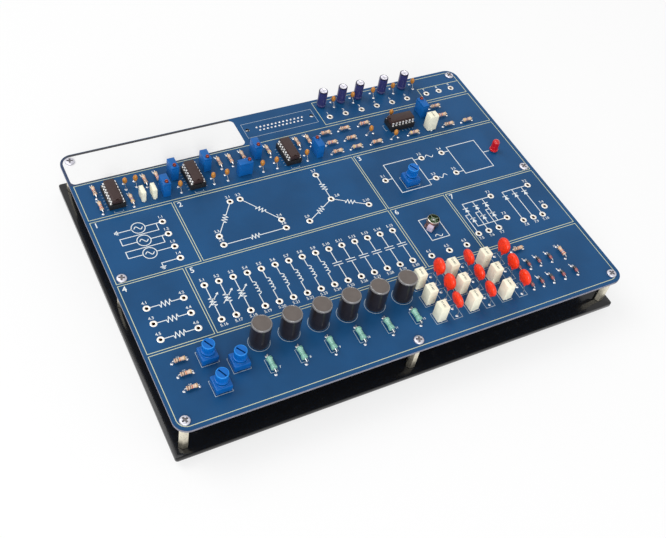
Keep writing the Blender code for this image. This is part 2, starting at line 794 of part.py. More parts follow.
def build_chips(collection):
    """Dual-row integrated circuits, each pressed into its socket."""
    black = material("chip_black", (0.03, 0.026, 0.026), 0.45)
    socket_black = material("socket_black", (0.015, 0.015, 0.016), 0.5)
    rail = (PINS_PER_ROW - 1) * PIN_PITCH + 2 * PIN_WIDTH
    groove_width = PIN_THICKNESS + 2 * RUNNING_CLEARANCE
    groove_depth = PIN_ENTRY + RUNNING_CLEARANCE
    groove_height = groove_depth + CUT_OVERRUN
    groove_middle = SOCKET_HEIGHT - groove_depth + groove_height / 2
    socket = box(
        "ic_socket", (SOCKET_LENGTH, SOCKET_WIDTH, SOCKET_HEIGHT),
        (0, 0, SOCKET_HEIGHT / 2),
    )
    cuts = [
        (
            box("pin_groove", (rail, groove_width, groove_height),
                (0, side * PIN_ROW_SPAN / 2, groove_middle)),
            Matrix(),
        )
        for side in (-1, 1)
    ]
    opening = box(
        "opening",
        (SOCKET_OPENING_LENGTH, SOCKET_OPENING_WIDTH,
         SOCKET_HEIGHT + 2 * CUT_OVERRUN),
        (0, 0, SOCKET_HEIGHT / 2),
    )
    cuts.append((opening, Matrix()))
    notch = rod(
        "notch", CHIP_NOTCH_RADIUS, SOCKET_HEIGHT - CHIP_NOTCH_DEPTH,
        SOCKET_HEIGHT + CUT_OVERRUN, TINY_SIDES, (-SOCKET_LENGTH / 2, 0),
    )
    cuts.append((notch, Matrix()))
    socket = minus("ic_socket", socket, gathered("socket_cuts", cuts))

    chip = box(
        "ic_chip", (CHIP_LENGTH, CHIP_WIDTH, CHIP_HEIGHT),
        (0, 0, CHIP_HEIGHT / 2), CHIP_EDGE,
    )
    notch = rod(
        "notch", CHIP_NOTCH_RADIUS, CHIP_HEIGHT - CHIP_NOTCH_DEPTH,
        CHIP_HEIGHT + CUT_OVERRUN, TINY_SIDES, (-CHIP_LENGTH / 2, 0),
    )
    chip = minus("ic_chip", chip, notch)
    shoulder = CHIP_HEIGHT / 2
    inner = CHIP_WIDTH / 2 - PIN_THICKNESS
    outer = PIN_ROW_SPAN / 2 + PIN_THICKNESS / 2
    pin = wire_pin(inner, outer, shoulder)
    pins = []
    for side in (0, 180):
        spin = Matrix.Rotation(math.radians(side), 4, "Z")
        for number in range(PINS_PER_ROW):
            x = (number - (PINS_PER_ROW - 1) / 2) * PIN_PITCH
            pins.append((pin, spin @ Matrix.Translation((x, 0, 0))))
    chip = union("ic_chip", chip, gathered("pins", pins))

    chip_seat = SEAT_ON_BOARD + SOCKET_HEIGHT + SEAT_GAP
    for number, (x, y, level) in enumerate(CHIP_SHARES, 1):
        turn = 0 if level else 90
        node("ic_socket_%d" % number, socket, socket_black, collection,
             at_board(x, y, SEAT_ON_BOARD, turn), smooth=False)
        node("ic_chip_%d" % number, chip, black, collection,
             at_board(x, y, chip_seat, turn), smooth=False)


def wire_pin(inner, outer, shoulder):
    """A flat pin that leaves the chip's side and turns down."""
    bm = bmesh.new()
    half = PIN_WIDTH / 2
    outline = (
        (inner, shoulder),
        (outer, shoulder),
        (outer, -PIN_ENTRY),
        (outer - PIN_THICKNESS, -PIN_ENTRY),
        (outer - PIN_THICKNESS, shoulder - PIN_THICKNESS),
        (inner, shoulder - PIN_THICKNESS),
    )
    verts = [bm.verts.new((-half, y, z)) for y, z in outline]
    face = bm.faces.new(verts)
    grown = bmesh.ops.extrude_face_region(bm, geom=[face])
    moved = [v for v in grown["geom"] if isinstance(v, bmesh.types.BMVert)]
    bmesh.ops.translate(bm, verts=moved, vec=(PIN_WIDTH, 0, 0))
    return mesh_from(bm, "pin")


def build_trimmers(collection):
    """Tall multi-turn trimmers, adjusted by a screw on the top."""
    blue = material("trimmer_blue", (0.02, 0.12, 0.52), 0.35)
    brass = material("trimmer_screw_red", (0.45, 0.09, 0.05), 0.35, 1.0)
    screw_x = TRIMMER_LENGTH / 2 - TRIMMER_SCREW_INSET
    body = box(
        "trimmer_body", (TRIMMER_LENGTH, TRIMMER_WIDTH, TRIMMER_HEIGHT),
        (0, 0, TRIMMER_HEIGHT / 2), TRIMMER_EDGE,
    )
    undercut = box(
        "undercut",
        (
            TRIMMER_LENGTH - 2 * TRIMMER_FOOT,
            TRIMMER_WIDTH + 2 * CUT_OVERRUN,
            TRIMMER_FOOT_HEIGHT + CUT_OVERRUN,
        ),
        (0, 0, (TRIMMER_FOOT_HEIGHT - CUT_OVERRUN) / 2),
    )
    bore = rod(
        "bore", TRIMMER_SCREW_RADIUS + RUNNING_CLEARANCE,
        TRIMMER_HEIGHT - TRIMMER_SCREW_REACH - RUNNING_CLEARANCE,
        TRIMMER_HEIGHT + CUT_OVERRUN, SMALL_SIDES, (screw_x, 0),
    )
    body = minus("trimmer_body", body, undercut, bore)
    screw = rod(
        "trimmer_screw", TRIMMER_SCREW_RADIUS, -TRIMMER_SCREW_REACH,
        TRIMMER_SCREW_PROUD, SMALL_SIDES,
    )
    slot = box(
        "slot",
        (
            2 * TRIMMER_SCREW_RADIUS + 2 * CUT_OVERRUN,
            TRIMMER_SLOT_WIDTH,
            TRIMMER_SLOT_DEPTH + CUT_OVERRUN,
        ),
        (
            0, 0,
            TRIMMER_SCREW_PROUD + (CUT_OVERRUN - TRIMMER_SLOT_DEPTH) / 2,
        ),
    )
    screw = minus("trimmer_screw", screw, slot)
    top = SEAT_ON_BOARD + TRIMMER_HEIGHT
    for number, (x, y, turn) in enumerate(TRIMMER_SHARES, 1):
        node("trimmer_body_%d" % number, body, blue, collection,
             at_board(x, y, SEAT_ON_BOARD, turn), smooth=False)
        place = at_board(x, y, top, turn)
        place = place @ Matrix.Translation((screw_x, 0, 0))
        place = place @ Matrix.Rotation(math.radians(50 * number), 4, "Z")
        node("trimmer_screw_%d" % number, screw, brass, collection, place)


def build_pots(collection):
    """Square potentiometers with a round slotted knob."""
    blue = material("pot_blue", (0.02, 0.15, 0.62), 0.32)
    knob_blue = material("knob_blue", (0.03, 0.2, 0.72), 0.3)
    top = POT_HEIGHT + POT_COLLAR_HEIGHT
    body = box(
        "pot_body", (POT_SIDE, POT_SIDE, POT_HEIGHT),
        (0, 0, POT_HEIGHT / 2), POT_EDGE, True, 2,
    )
    collar = rod(
        "collar", POT_COLLAR_RADIUS, POT_HEIGHT - POT_COLLAR_HEIGHT, top,
        ROUND_SIDES,
    )
    bore = rod(
        "bore", POT_SHAFT_RADIUS + RUNNING_CLEARANCE,
        top - POT_SHAFT_REACH - RUNNING_CLEARANCE, top + CUT_OVERRUN,
        SMALL_SIDES,
    )
    body = minus("pot_body", union("pot_body", body, collar), bore)
    knob = turned(
        "pot_knob",
        (
            (0, KNOB_HEIGHT),
            (KNOB_RADIUS - KNOB_EDGE, KNOB_HEIGHT),
            (KNOB_RADIUS, KNOB_HEIGHT - KNOB_EDGE),
            (KNOB_RADIUS, KNOB_SKIRT),
            (KNOB_SKIRT_RADIUS, 0),
            (POT_SHAFT_RADIUS, 0),
            (POT_SHAFT_RADIUS, -POT_SHAFT_REACH),
            (0, -POT_SHAFT_REACH),
        ),
        ROUND_SIDES,
    )
    slot = box(
        "slot",
        (
            2 * KNOB_RADIUS + 2 * CUT_OVERRUN,
            KNOB_SLOT_WIDTH,
            KNOB_SLOT_DEPTH + CUT_OVERRUN,
        ),
        (0, 0, KNOB_HEIGHT + (CUT_OVERRUN - KNOB_SLOT_DEPTH) / 2),
    )
    knob = minus("pot_knob", knob, slot)
    seat = SEAT_ON_BOARD + top + RUNNING_CLEARANCE
    places = zip(POT_SHARES, KNOB_TURNS_DEGREES)
    for number, ((x, y), turn) in enumerate(places, 1):
        node("pot_body_%d" % number, body, blue, collection,
             at_board(x, y, SEAT_ON_BOARD))
        node("pot_knob_%d" % number, knob, knob_blue, collection,
             at_board(x, y, seat, turn))


def build_capacitors(collection):
    """Electrolytic cans with the crimp groove above their foot."""
    violet = material("can_violet", (0.035, 0.03, 0.12), 0.35)
    groove_top = CAN_GROOVE_HEIGHT + CAN_GROOVE_WIDTH
    groove_middle = CAN_GROOVE_HEIGHT + CAN_GROOVE_WIDTH / 2
    can = turned(
        "electrolytic",
        (
            (0, CAN_HEIGHT),
            (CAN_RADIUS - CAN_EDGE, CAN_HEIGHT),
            (CAN_RADIUS, CAN_HEIGHT - CAN_EDGE),
            (CAN_RADIUS, groove_top),
            (CAN_RADIUS - CAN_GROOVE_DEPTH, groove_middle),
            (CAN_RADIUS, CAN_GROOVE_HEIGHT),
            (CAN_RADIUS - CAN_EDGE, 0),
            (0, 0),
        ),
        SMALL_SIDES,
    )
    for number, x in enumerate(CAN_COLUMN_SHARES, 1):
        node("electrolytic_%d" % number, can, violet, collection,
             at_board(x, CAN_ROW_SHARE, SEAT_ON_BOARD))


def build_led(collection):
    """A domed light-emitting diode, held off the board by its leads."""
    red = material("led_red", (0.7, 0.01, 0.02), 0.15)
    shoulder = LED_HEIGHT - LED_RADIUS
    profile = []
    for step in range(LED_DOME_STEPS + 1):
        angle = math.pi / 2 * step / LED_DOME_STEPS
        profile.append(
            (
                LED_RADIUS * math.sin(angle),
                shoulder + LED_RADIUS * math.cos(angle),
            )
        )
    profile += [
        (LED_RADIUS, LED_FLANGE_HEIGHT),
        (LED_FLANGE_RADIUS, LED_FLANGE_HEIGHT),
        (LED_FLANGE_RADIUS, 0),
        (0, 0),
    ]
    lens = turned("status_led", profile, ROUND_SIDES)
    lens.transform(Matrix.Rotation(math.pi / ROUND_SIDES, 4, "Z"))
    low = -LED_LIFT - BOARD_THICKNESS - LED_LEAD_TAIL
    for side in (-1, 1):
        x = side * LED_LEAD_PITCH / 2
        lead = wire(
            "led_lead", ((x, 0, low), (x, 0, LED_FLANGE_HEIGHT / 2)),
            LED_LEAD_RADIUS,
        )
        lens = union("status_led", lens, lead)
    node("status_led", lens, red, collection,
         at_board(*LED_SHARES, BOARD_TOP + LED_LIFT))


def build_motor(collection):
    """A tiny three-phase motor: wound stator, post and turning bell."""
    copper = material("motor_copper", (0.5, 0.28, 0.2), 0.4, 1.0)
    silver = material("motor_bell_silver", (0.75, 0.76, 0.74), 0.25, 1.0)
    coil_top = MOTOR_BASE_THICKNESS + MOTOR_COIL_HEIGHT
    bell_seat = MOTOR_BASE_THICKNESS + RUNNING_CLEARANCE
    floor = BELL_HEIGHT - BELL_RECESS
    ceiling = floor - BELL_TOP
    reach = MOTOR_RADIUS + RUNNING_CLEARANCE + MOTOR_TAB_LENGTH / 2
    base = box(
        "motor_stator",
        (
            MOTOR_BASE_WIDTH / 2 + reach, MOTOR_BASE_WIDTH,
            MOTOR_BASE_THICKNESS,
        ),
        (
            (MOTOR_BASE_WIDTH / 2 - reach) / 2, 0,
            MOTOR_BASE_THICKNESS / 2,
        ),
        MOTOR_BASE_CORNER, True, 2,
    )
    tab = box(
        "tab",
        (MOTOR_TAB_LENGTH, MOTOR_TAB_WIDTH, MOTOR_TAB_HEIGHT),
        (
            -reach, -MOTOR_TAB_ASIDE,
            MOTOR_BASE_THICKNESS / 4 + MOTOR_TAB_HEIGHT / 2,
        ),
    )
    coil = rod(
        "coil", MOTOR_COIL_RADIUS, MOTOR_BASE_THICKNESS / 2, coil_top, 9,
    )
    post = rod(
        "post", MOTOR_POST_RADIUS, MOTOR_BASE_THICKNESS,
        bell_seat + floor - RUNNING_CLEARANCE, SMALL_SIDES,
    )
    stator = union("motor_stator", base, tab, coil, post)
    inner = MOTOR_RADIUS - BELL_WALL
    bore_radius = MOTOR_POST_RADIUS + RUNNING_CLEARANCE
    bell = turned(
        "motor_rotor",
        (
            (0, floor),
            (inner, floor),
            (inner, BELL_HEIGHT),
            (MOTOR_RADIUS - BELL_EDGE, BELL_HEIGHT),
            (MOTOR_RADIUS, BELL_HEIGHT - BELL_EDGE),
            (MOTOR_RADIUS, 0),
            (inner, 0),
            (inner, ceiling),
            (0, ceiling),
        ),
        FINE_SIDES,
    )
    bore = rod("bore", bore_radius, -CUT_OVERRUN,
               BELL_HEIGHT + CUT_OVERRUN, SMALL_SIDES)
    bell = minus("motor_rotor", bell, bore)
    node("motor_stator", stator, copper, collection,
         at_board(*MOTOR_SHARES, SEAT_ON_BOARD, MOTOR_TURN_DEGREES))
    node("motor_rotor", bell, silver, collection,
         at_board(*MOTOR_SHARES, SEAT_ON_BOARD + bell_seat))


def d_block(name, length, width, taper, corner, low, high):
    """A block with the connector's D outline."""
    bm = bmesh.new()
    place = Matrix.Translation((0, 0, (low + high) / 2))
    place = place @ Matrix.Diagonal((length, width, high - low, 1))
    bmesh.ops.create_cube(bm, size=1, matrix=place)
    for vert in bm.verts:
        if vert.co.y < 0:
            vert.co.x -= math.copysign(taper, vert.co.x)
    bmesh.ops.bevel(
        bm, geom=[e for e in bm.edges if is_upright(e)], offset=corner,
        segments=3, profile=0.5, affect="EDGES",
    )
    return mesh_from(bm, name)


def build_connector(collection):
    """The 25-way socket whose contacts are soldered through the board."""
    tin = material("tin_plate", (0.7, 0.7, 0.68), 0.35, 1.0)
    dark = material("connector_black", (0.02, 0.02, 0.022), 0.5)
    block_top = BOARD_BOTTOM - SEAT_GAP
    block_bottom = block_top - BLOCK_HEIGHT
    flange_top = block_bottom - SEAT_GAP
    flange_bottom = flange_top - FLANGE_THICKNESS
    mouth = flange_bottom - SHELL_DEPTH
    flange = box(
        "connector_shell", (FLANGE_LENGTH, FLANGE_WIDTH, FLANGE_THICKNESS),
        (0, 0, (flange_top + flange_bottom) / 2), FLANGE_CORNER, True, 2,
    )
    sleeve = d_block("sleeve", SHELL_LENGTH, SHELL_WIDTH, SHELL_TAPER,
                     SHELL_CORNER, mouth, flange_top - SHELL_WALL / 2)
    inside = d_block(
        "inside", SHELL_LENGTH - 2 * SHELL_WALL,
        SHELL_WIDTH - 2 * SHELL_WALL, SHELL_TAPER,
        SHELL_CORNER - SHELL_WALL, mouth - CUT_OVERRUN,
        flange_top + CUT_OVERRUN,
    )
    shell = union("connector_shell", flange, sleeve)
    shell = minus("connector_shell", shell, inside)
    hole = rod("hole", FLANGE_HOLE_RADIUS, flange_bottom - CUT_OVERRUN,
               flange_top + CUT_OVERRUN, SMALL_SIDES)
    holes = [
        (hole, Matrix.Translation((side * FLANGE_HOLE_SPACING / 2, 0, 0)))
        for side in (-1, 1)
    ]
    shell = minus("connector_shell", shell, gathered("holes", holes))
    inset = SHELL_WALL + RUNNING_CLEARANCE
    core = d_block(
        "core", SHELL_LENGTH - 2 * inset, SHELL_WIDTH - 2 * inset,
        SHELL_TAPER, SHELL_CORNER - inset, mouth,
        block_bottom + SHELL_WALL,
    )
    block = box(
        "connector_insulator", (BLOCK_LENGTH, BLOCK_WIDTH, BLOCK_HEIGHT),
        (0, 0, (block_top + block_bottom) / 2),
    )
    insulator = union("connector_insulator", block, core)
    place = Matrix.Translation(connector_centre())
    node("connector_shell", shell, tin, collection, place)
    node("connector_insulator", insulator, dark, collection, place)


def main():
    clear_scene()
    trainer = new_collection("three_phase_trainer")
    build_base(trainer)
    build_fasteners(trainer)
    build_board(trainer)
    build_inductors(trainer)
    build_chips(trainer)
    build_trimmers(trainer)
    build_pots(trainer)
    build_capacitors(trainer)
    build_led(trainer)
    build_motor(trainer)
    build_connector(trainer)


main()
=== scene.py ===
"""Three-phase circuit trainer: a printed circuit board on brass standoffs."""

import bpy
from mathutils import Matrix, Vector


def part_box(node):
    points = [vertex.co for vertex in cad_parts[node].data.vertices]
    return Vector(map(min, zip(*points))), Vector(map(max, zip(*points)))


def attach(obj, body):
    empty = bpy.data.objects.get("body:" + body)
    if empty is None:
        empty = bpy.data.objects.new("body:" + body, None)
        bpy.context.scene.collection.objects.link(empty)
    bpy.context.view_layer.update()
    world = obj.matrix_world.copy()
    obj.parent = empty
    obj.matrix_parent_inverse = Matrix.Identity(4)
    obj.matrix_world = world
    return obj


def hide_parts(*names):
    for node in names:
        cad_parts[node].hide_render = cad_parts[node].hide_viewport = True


bl_info = {
    "name": "Three-Phase Circuit Trainer",
    "version": (1, 0, 0),
    "blender": (4, 5, 0),
    "location": "View3D > Sidebar > Trainer",
    "description": "Dresses the trainer's frame with board, parts and print",
    "category": "Add Mesh",
}

import math

import bmesh
import bpy
from bpy.props import (
    FloatProperty, FloatVectorProperty, IntProperty, PointerProperty,
)
from mathutils import Matrix, Vector

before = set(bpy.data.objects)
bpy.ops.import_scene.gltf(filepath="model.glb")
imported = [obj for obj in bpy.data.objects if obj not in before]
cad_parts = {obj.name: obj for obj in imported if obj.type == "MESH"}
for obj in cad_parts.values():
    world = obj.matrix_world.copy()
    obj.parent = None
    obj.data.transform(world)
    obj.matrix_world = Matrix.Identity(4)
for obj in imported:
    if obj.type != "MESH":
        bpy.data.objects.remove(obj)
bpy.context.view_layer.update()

# The board's print grid, in steps from its front left corner
GRID_ALONG, GRID_ACROSS = 300, 214.3
BOARD_LOW, BOARD_HIGH = (Vector(corner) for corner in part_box("circuit_board"))
STEP = (BOARD_HIGH.x - BOARD_LOW.x) / GRID_ALONG
STEP_Y = (BOARD_HIGH.y - BOARD_LOW.y) / GRID_ACROSS
SEAT = 0.0003
BOARD_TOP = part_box("ic_socket_1")[0][2] - SEAT
BOARD_THICKNESS = 0.0016
BOARD_UNDER = BOARD_TOP - BOARD_THICKNESS
BOARD_CORNER = 0.008

# Leads and pins end this far under the top of the board
LEAD_END = BOARD_THICKNESS + 0.0009
PIN_END = BOARD_THICKNESS + 0.0010
LEAD_RADIUS = 0.0003
# Bodies of the soldered parts: length, then radius or depth and height
RESISTOR_BODY, RESISTOR_LIFT = (0.0064, 0.00122), 0.0021
CHOKE_BODY, CHOKE_LIFT = (0.0078, 0.0019), 0.0024
FILM_SIZE = (0.0056, 0.0066, 0.0125)
SMALL_FILM_SIZE = (0.0026, 0.0068, 0.0080)
LARGE_FILM_SIZE = (0.0066, 0.0058, 0.0125)
# From one lead of a part to the other
RESISTOR_PITCHES = {90: 0.0100, 0: 0.0085}
DIODE_PITCH = 0.0070
CHOKE_PITCH = 0.0123
DROP_PITCH = 0.0051
DISC_PITCH = 0.0053
FILM_PITCH = 0.0050
SMALL_FILM_PITCH = 0.0052
# Heights of the parts that stand up
SOCKET_HEIGHT = 0.0042
LAMP_LIFT = 0.0014
TRIMMER_BORE_FLOOR = 0.0106
TRIMMER_SCREW_TOP = 0.0014
KNOB_HEIGHT = 0.0062
# Chips: their height over the socket, and the spacing of their legs and
# the legs' number on each side
CHIP_TOP = 0.0034
CHIP_PITCH = 0.00254
CHIP_LEGS = 7
# Connector: spacing of its contacts, half the gap between their two rows,
# its lock holes in grid steps from its centre, and the plate's window below
CONTACT_PITCH = 0.00277
CONTACT_ROW = 0.00142
LOCK_HOLE_ASIDE, LOCK_HOLE_REAR = 24.3, 0.8
LOCK_HOLE_RADIUS = 0.0015
PLUG_WINDOW = (0.0591, 0.0185)
MOTOR_TURN = 31

STANDOFFS = (
    "front_left", "front_middle", "front_right", "middle_left",
    "middle_right", "rear_left", "rear_right",
)
FEET = ("front_left", "front_right", "rear_left", "rear_right")

# Terminals of each section on the grid, in the order of their numbers
TERMINALS = {
    "": (
        (186.8, 195.0), (199.35, 195.0), (212.2, 195.1), (224.8, 195.3),
        (237.3, 195.2), (250.0, 195.4), (266.6, 195.6), (277.3, 195.6),
        (287.7, 195.7),
    ),
    "1.": ((43.9, 141.3), (43.9, 130.9), (43.9, 120.2), (43.9, 110.7)),
    "2.": (
        (89.5, 143.2), (96.4, 143.1), (72.1, 118.6), (114.1, 118.4),
        (72.1, 111.3), (114.1, 111.3), (152.1, 146.8), (152.1, 124.1),
        (130.5, 111.4), (173.4, 111.6),
    ),
    "3.": (
        (194.4, 127.1), (228.7, 137.9), (228.7, 118.0), (245.0, 138.0),
        (244.9, 118.0),
    ),
    "4.": (
        (12.6, 82.2), (35.0, 82.1), (12.6, 70.8), (35.0, 70.7),
        (12.6, 59.3), (35.0, 59.3),
    ),
    "6.": ((190.6, 59.6), (203.8, 59.6), (217.0, 59.7)),
    "7.": (
        (255.8, 91.1), (286.4, 91.4), (255.6, 70.9), (286.3, 70.9),
        (229.6, 65.2), (237.5, 65.2), (245.4, 65.2), (265.1, 65.1),
        (273.0, 65.1), (280.7, 65.2),
    ),
}
# Numbers that stand beside (0) or in front of (-1) their terminal
NUMBER_SIDES = {
    "2.8": 0, "7.5": -1, "7.6": -1, "7.7": -1, "7.8": -1, "7.9": -1,
    "7.10": -1,
}
ROW_START, ROW_PITCH, ROW_COUNT = 49.5, 9.12, 15
ROW_REAR, ROW_FRONT = 86.6, 60.4

# Section frames on the grid: left, front, right, rear
SECTIONS = (
    (2.3, 156.1, 297.1, 186.3), (2.3, 104.1, 54.4, 154.1),
    (55.9, 104.1, 182.6, 154.1), (184.1, 104.1, 297.1, 154.1),
    (2.3, 52.5, 42.1, 102.5), (43.7, 52.5, 182.5, 102.5),
    (184.2, 52.5, 225.0, 102.5), (226.6, 52.5, 297.1, 102.5),
)
SECTION_NUMBERS = (
    (5.4, 150.9, "1"), (59.0, 150.9, "2"), (187.2, 150.9, "3"),
    (5.4, 99.3, "4"), (46.8, 99.3, "5"), (187.3, 99.3, "6"),
    (229.7, 99.3, "7"),
)

# Lying parts: place, turn in degrees, colour code
RESISTORS = (
    (12.4, 177.3, 90, 0), (12.3, 163.9, 90, 1), (31.9, 163.7, 90, 2),
    (45.0, 176.8, 90, 3), (53.3, 177.0, 90, 1), (95.7, 176.8, 90, 0),
    (103.6, 176.8, 90, 4), (112.7, 177.3, 90, 4), (130.7, 176.8, 90, 2),
    (152.8, 177.5, 90, 4), (161.1, 177.5, 90, 4), (272.3, 32.8, 90, 1),
    (175.4, 179.7, 0, 4), (175.4, 169.8, 0, 1), (175.4, 160.9, 0, 4),
    (190.2, 179.8, 0, 3), (190.2, 169.9, 0, 3), (190.2, 160.9, 0, 2),
    (205.8, 180.0, 0, 1), (205.8, 160.8, 0, 4), (235.5, 160.7, 0, 2),
    (264.4, 180.2, 0, 0), (264.3, 170.3, 0, 1), (264.3, 160.6, 0, 0),
    (279.6, 160.2, 0, 2), (17.1, 42.1, 0, 3), (17.1, 32.8, 0, 3),
    (17.0, 23.4, 0, 0), (245.8, 44.4, 0, 3),
)
DIODES = (
    (238.2, 32), (245.7, 32), (253.6, 32), (262.4, 32), (238.2, 17.4),
    (245.7, 17.4), (253.6, 17.4), (262.4, 17.4), (272.3, 17.4),
)
DROPS = (
    (32.0, 176.5, 90), (38.9, 176.5, 90), (63.6, 163.0, 90),
    (86.0, 163.2, 90), (95.5, 163.2, 90), (120.5, 163.2, 90),
    (130.6, 163.2, 90), (152.8, 163.2, 90), (205.7, 170.3, 0),
    (227.5, 180.8, 0), (220.5, 161.2, 0), (194.1, 205.8, 90),
    (209.6, 205.8, 90), (226.2, 205.8, 90), (242.7, 205.8, 90),
    (259.2, 205.8, 90),
)
INDUCTOR_PITCH = 18.76
CHOKES = [(63.0 + INDUCTOR_PITCH * number, 21.6) for number in range(6)]
INDUCTOR_RINGS = [(u + 0.05, 38.4) for u, _ in CHOKES]
FILMS = [(u, v) for u in (169.9, 192.9, 216.9) for v in (16.5, 29.9, 42.5)]
SMALL_FILMS = ((39.0, 163.6), (46.2, 163.6))
LARGE_FILM = (249.7, 162.8)
DISCS = [(u, v) for u in (181.1, 204.5, 228.7) for v in (16.4, 29.7, 42.2)]
DISC_LEANS = (0.16, -0.10, -0.12, 0.16, 0.12, 0.10, 0.06, 0.04, -0.10)
CHIPS = (
    (22.0, 168.9, 90), (74.7, 168.9, 90), (142.5, 169.1, 90),
    (229.95, 172.3, 0),
)
TRIMMER_TURNS = (270, 270, 270, 0, 270, 90, 90)
KNOB_TURNS = (-60, -62, -56, -64)
SOCKET_CENTRE = (150.45, 199.3)

# Edges sharper than this, in degrees, stay sharp
SMOOTH_ANGLE = 35.0

WORLD_WHITE = (1.0, 1.0, 1.0, 1.0)
LAMP_SIZE = 1.6
KEY_PLACE, FILL_PLACE = (-1.2, 1.0, 2.2), (-1.0, -2.0, 1.2)
CAMERA_PLACE = (-0.2441, -0.3307, 0.4694)
CAMERA_TURN = (41.377, -7.609, -26.145)
CAMERA_SHIFT = (0.0254, -0.0516)


def colour(name, description, default):
    """A colour setting, with its default in linear values."""
    return FloatVectorProperty(
        name=name, description=description, subtype="COLOR", size=3,
        min=0.0, max=1.0, default=default,
    )


def length(name, description, default):
    """A length setting in metres."""
    return FloatProperty(
        name=name, description=description, unit="LENGTH", min=0.0,
        default=default, precision=5,
    )


class BoardSettings(bpy.types.PropertyGroup):
    """The printed board."""

    mask: colour("Solder mask", "Blue lacquer on the board",
                 (0.008, 0.068, 0.185))
    symbol: colour("Symbols", "Ink of the circuit diagrams",
                   (0.80, 0.84, 0.84))
    outline: colour("Outlines", "Ink round the parts' places",
                    (0.42, 0.50, 0.56))
    border: colour("Borders", "Ink of the section frames",
                   (0.60, 0.64, 0.44))
    label: colour("Label field", "Bare white field", (0.86, 0.86, 0.86))
    symbol_width: length("Symbol line", "Width of a diagram line", 0.00050)
    border_width: length("Border line", "Width of a frame line", 0.00040)
    outline_width: length("Outline", "Width of a part's outline", 0.00026)
    ink: length("Ink height", "How far the print stands up", 0.00003)
    digit: length("Digit size", "Font size of terminal numbers", 0.0027)


class TerminalSettings(bpy.types.PropertyGroup):
    """The plug-in terminals."""

    rim: length("Rim radius", "Outer radius of the eyelet", 0.00212)
    bore: length("Bore radius", "Radius of the plug hole", 0.00098)
    sides: IntProperty(
        name="Sides", description="Facets of an eyelet", min=8, max=64,
        default=24,
    )


class PartSettings(bpy.types.PropertyGroup):
    """The electronic parts."""

    film: colour("Film capacitor", "Cream moulded box", (0.95, 0.92, 0.73))
    disc: colour("Disc capacitor", "Red-orange lacquer",
                 (0.97, 0.038, 0.004))
    drop: colour("Drop capacitor", "Ochre lacquer", (0.56, 0.23, 0.035))
    sleeve: colour("Inductor sleeve", "Black shrink sleeve",
                   (0.018, 0.014, 0.015))
    core: colour("Inductor core", "Grey-brown ferrite", (0.13, 0.11, 0.10))
    choke: colour("Choke", "Pale green coating", (0.26, 0.52, 0.42))
    can: colour("Electrolytic sleeve", "Violet-black sleeve",
                (0.028, 0.030, 0.128))
    trimmer: colour("Trimmer", "Blue moulding", (0.004, 0.115, 0.400))
    pot: colour("Potentiometer", "Bright blue moulding",
                (0.002, 0.145, 0.540))
    chip: colour("Chip", "Brown-black epoxy", (0.040, 0.021, 0.019))
    lamp: colour("Lamp", "Red lens", (0.55, 0.001, 0.006))


class BaseSettings(bpy.types.PropertyGroup):
    """What the board stands on."""

    acrylic: colour("Base plate", "Black acrylic", (0.008, 0.008, 0.009))
    brass: colour("Standoffs", "Pale brass", (0.90, 0.84, 0.68))
    rubber: colour("Feet", "Black rubber", (0.018, 0.018, 0.018))


class StageSettings(bpy.types.PropertyGroup):
    """Floor, lamps and camera."""

    floor: colour("Floor", "Pale floor", (0.92, 0.92, 0.92))
    key: FloatProperty(
        name="Key lamp", description="Power of the key lamp", unit="POWER",
        min=0.0, default=28.0,
    )
    fill: FloatProperty(
        name="Fill lamp", description="Power of the fill lamp", unit="POWER",
        min=0.0, default=36.0,
    )
    sky: FloatProperty(
        name="Sky", description="Strength of the light from all round",
        min=0.0, max=1.0, default=0.55,
    )
    glow: FloatProperty(
        name="Floor glow", description="Share of plain white in the floor",
        min=0.0, max=1.0, default=0.7,
    )
    lens: FloatProperty(
        name="Lens", description="Focal length", unit="CAMERA", min=1.0,
        default=52.92,
    )


class Value:
    """A shader socket that takes part in sums."""

    def __init__(self, finish, socket):
        self.finish = finish
        self.socket = socket

    def _sum(self, operation, *values):
        return self.finish.add(
            "ShaderNodeMath", {"operation": operation},
            dict(enumerate(values)),
        )

    def __add__(self, other):
        return self._sum("ADD", self, other)

    def __mul__(self, other):
        return self._sum("MULTIPLY", self, other)

    __radd__ = __add__
    __rmul__ = __mul__

    def wave(self):
        """Sine of the value."""
        return self._sum("SINE", self)

    def above(self, low, high):
        """0 below low, 1 above high, smooth between."""
        return self.finish.add(
            "ShaderNodeMapRange", {"interpolation_type": "SMOOTHSTEP"},
            {0: self, 1: low, 2: high},
        )


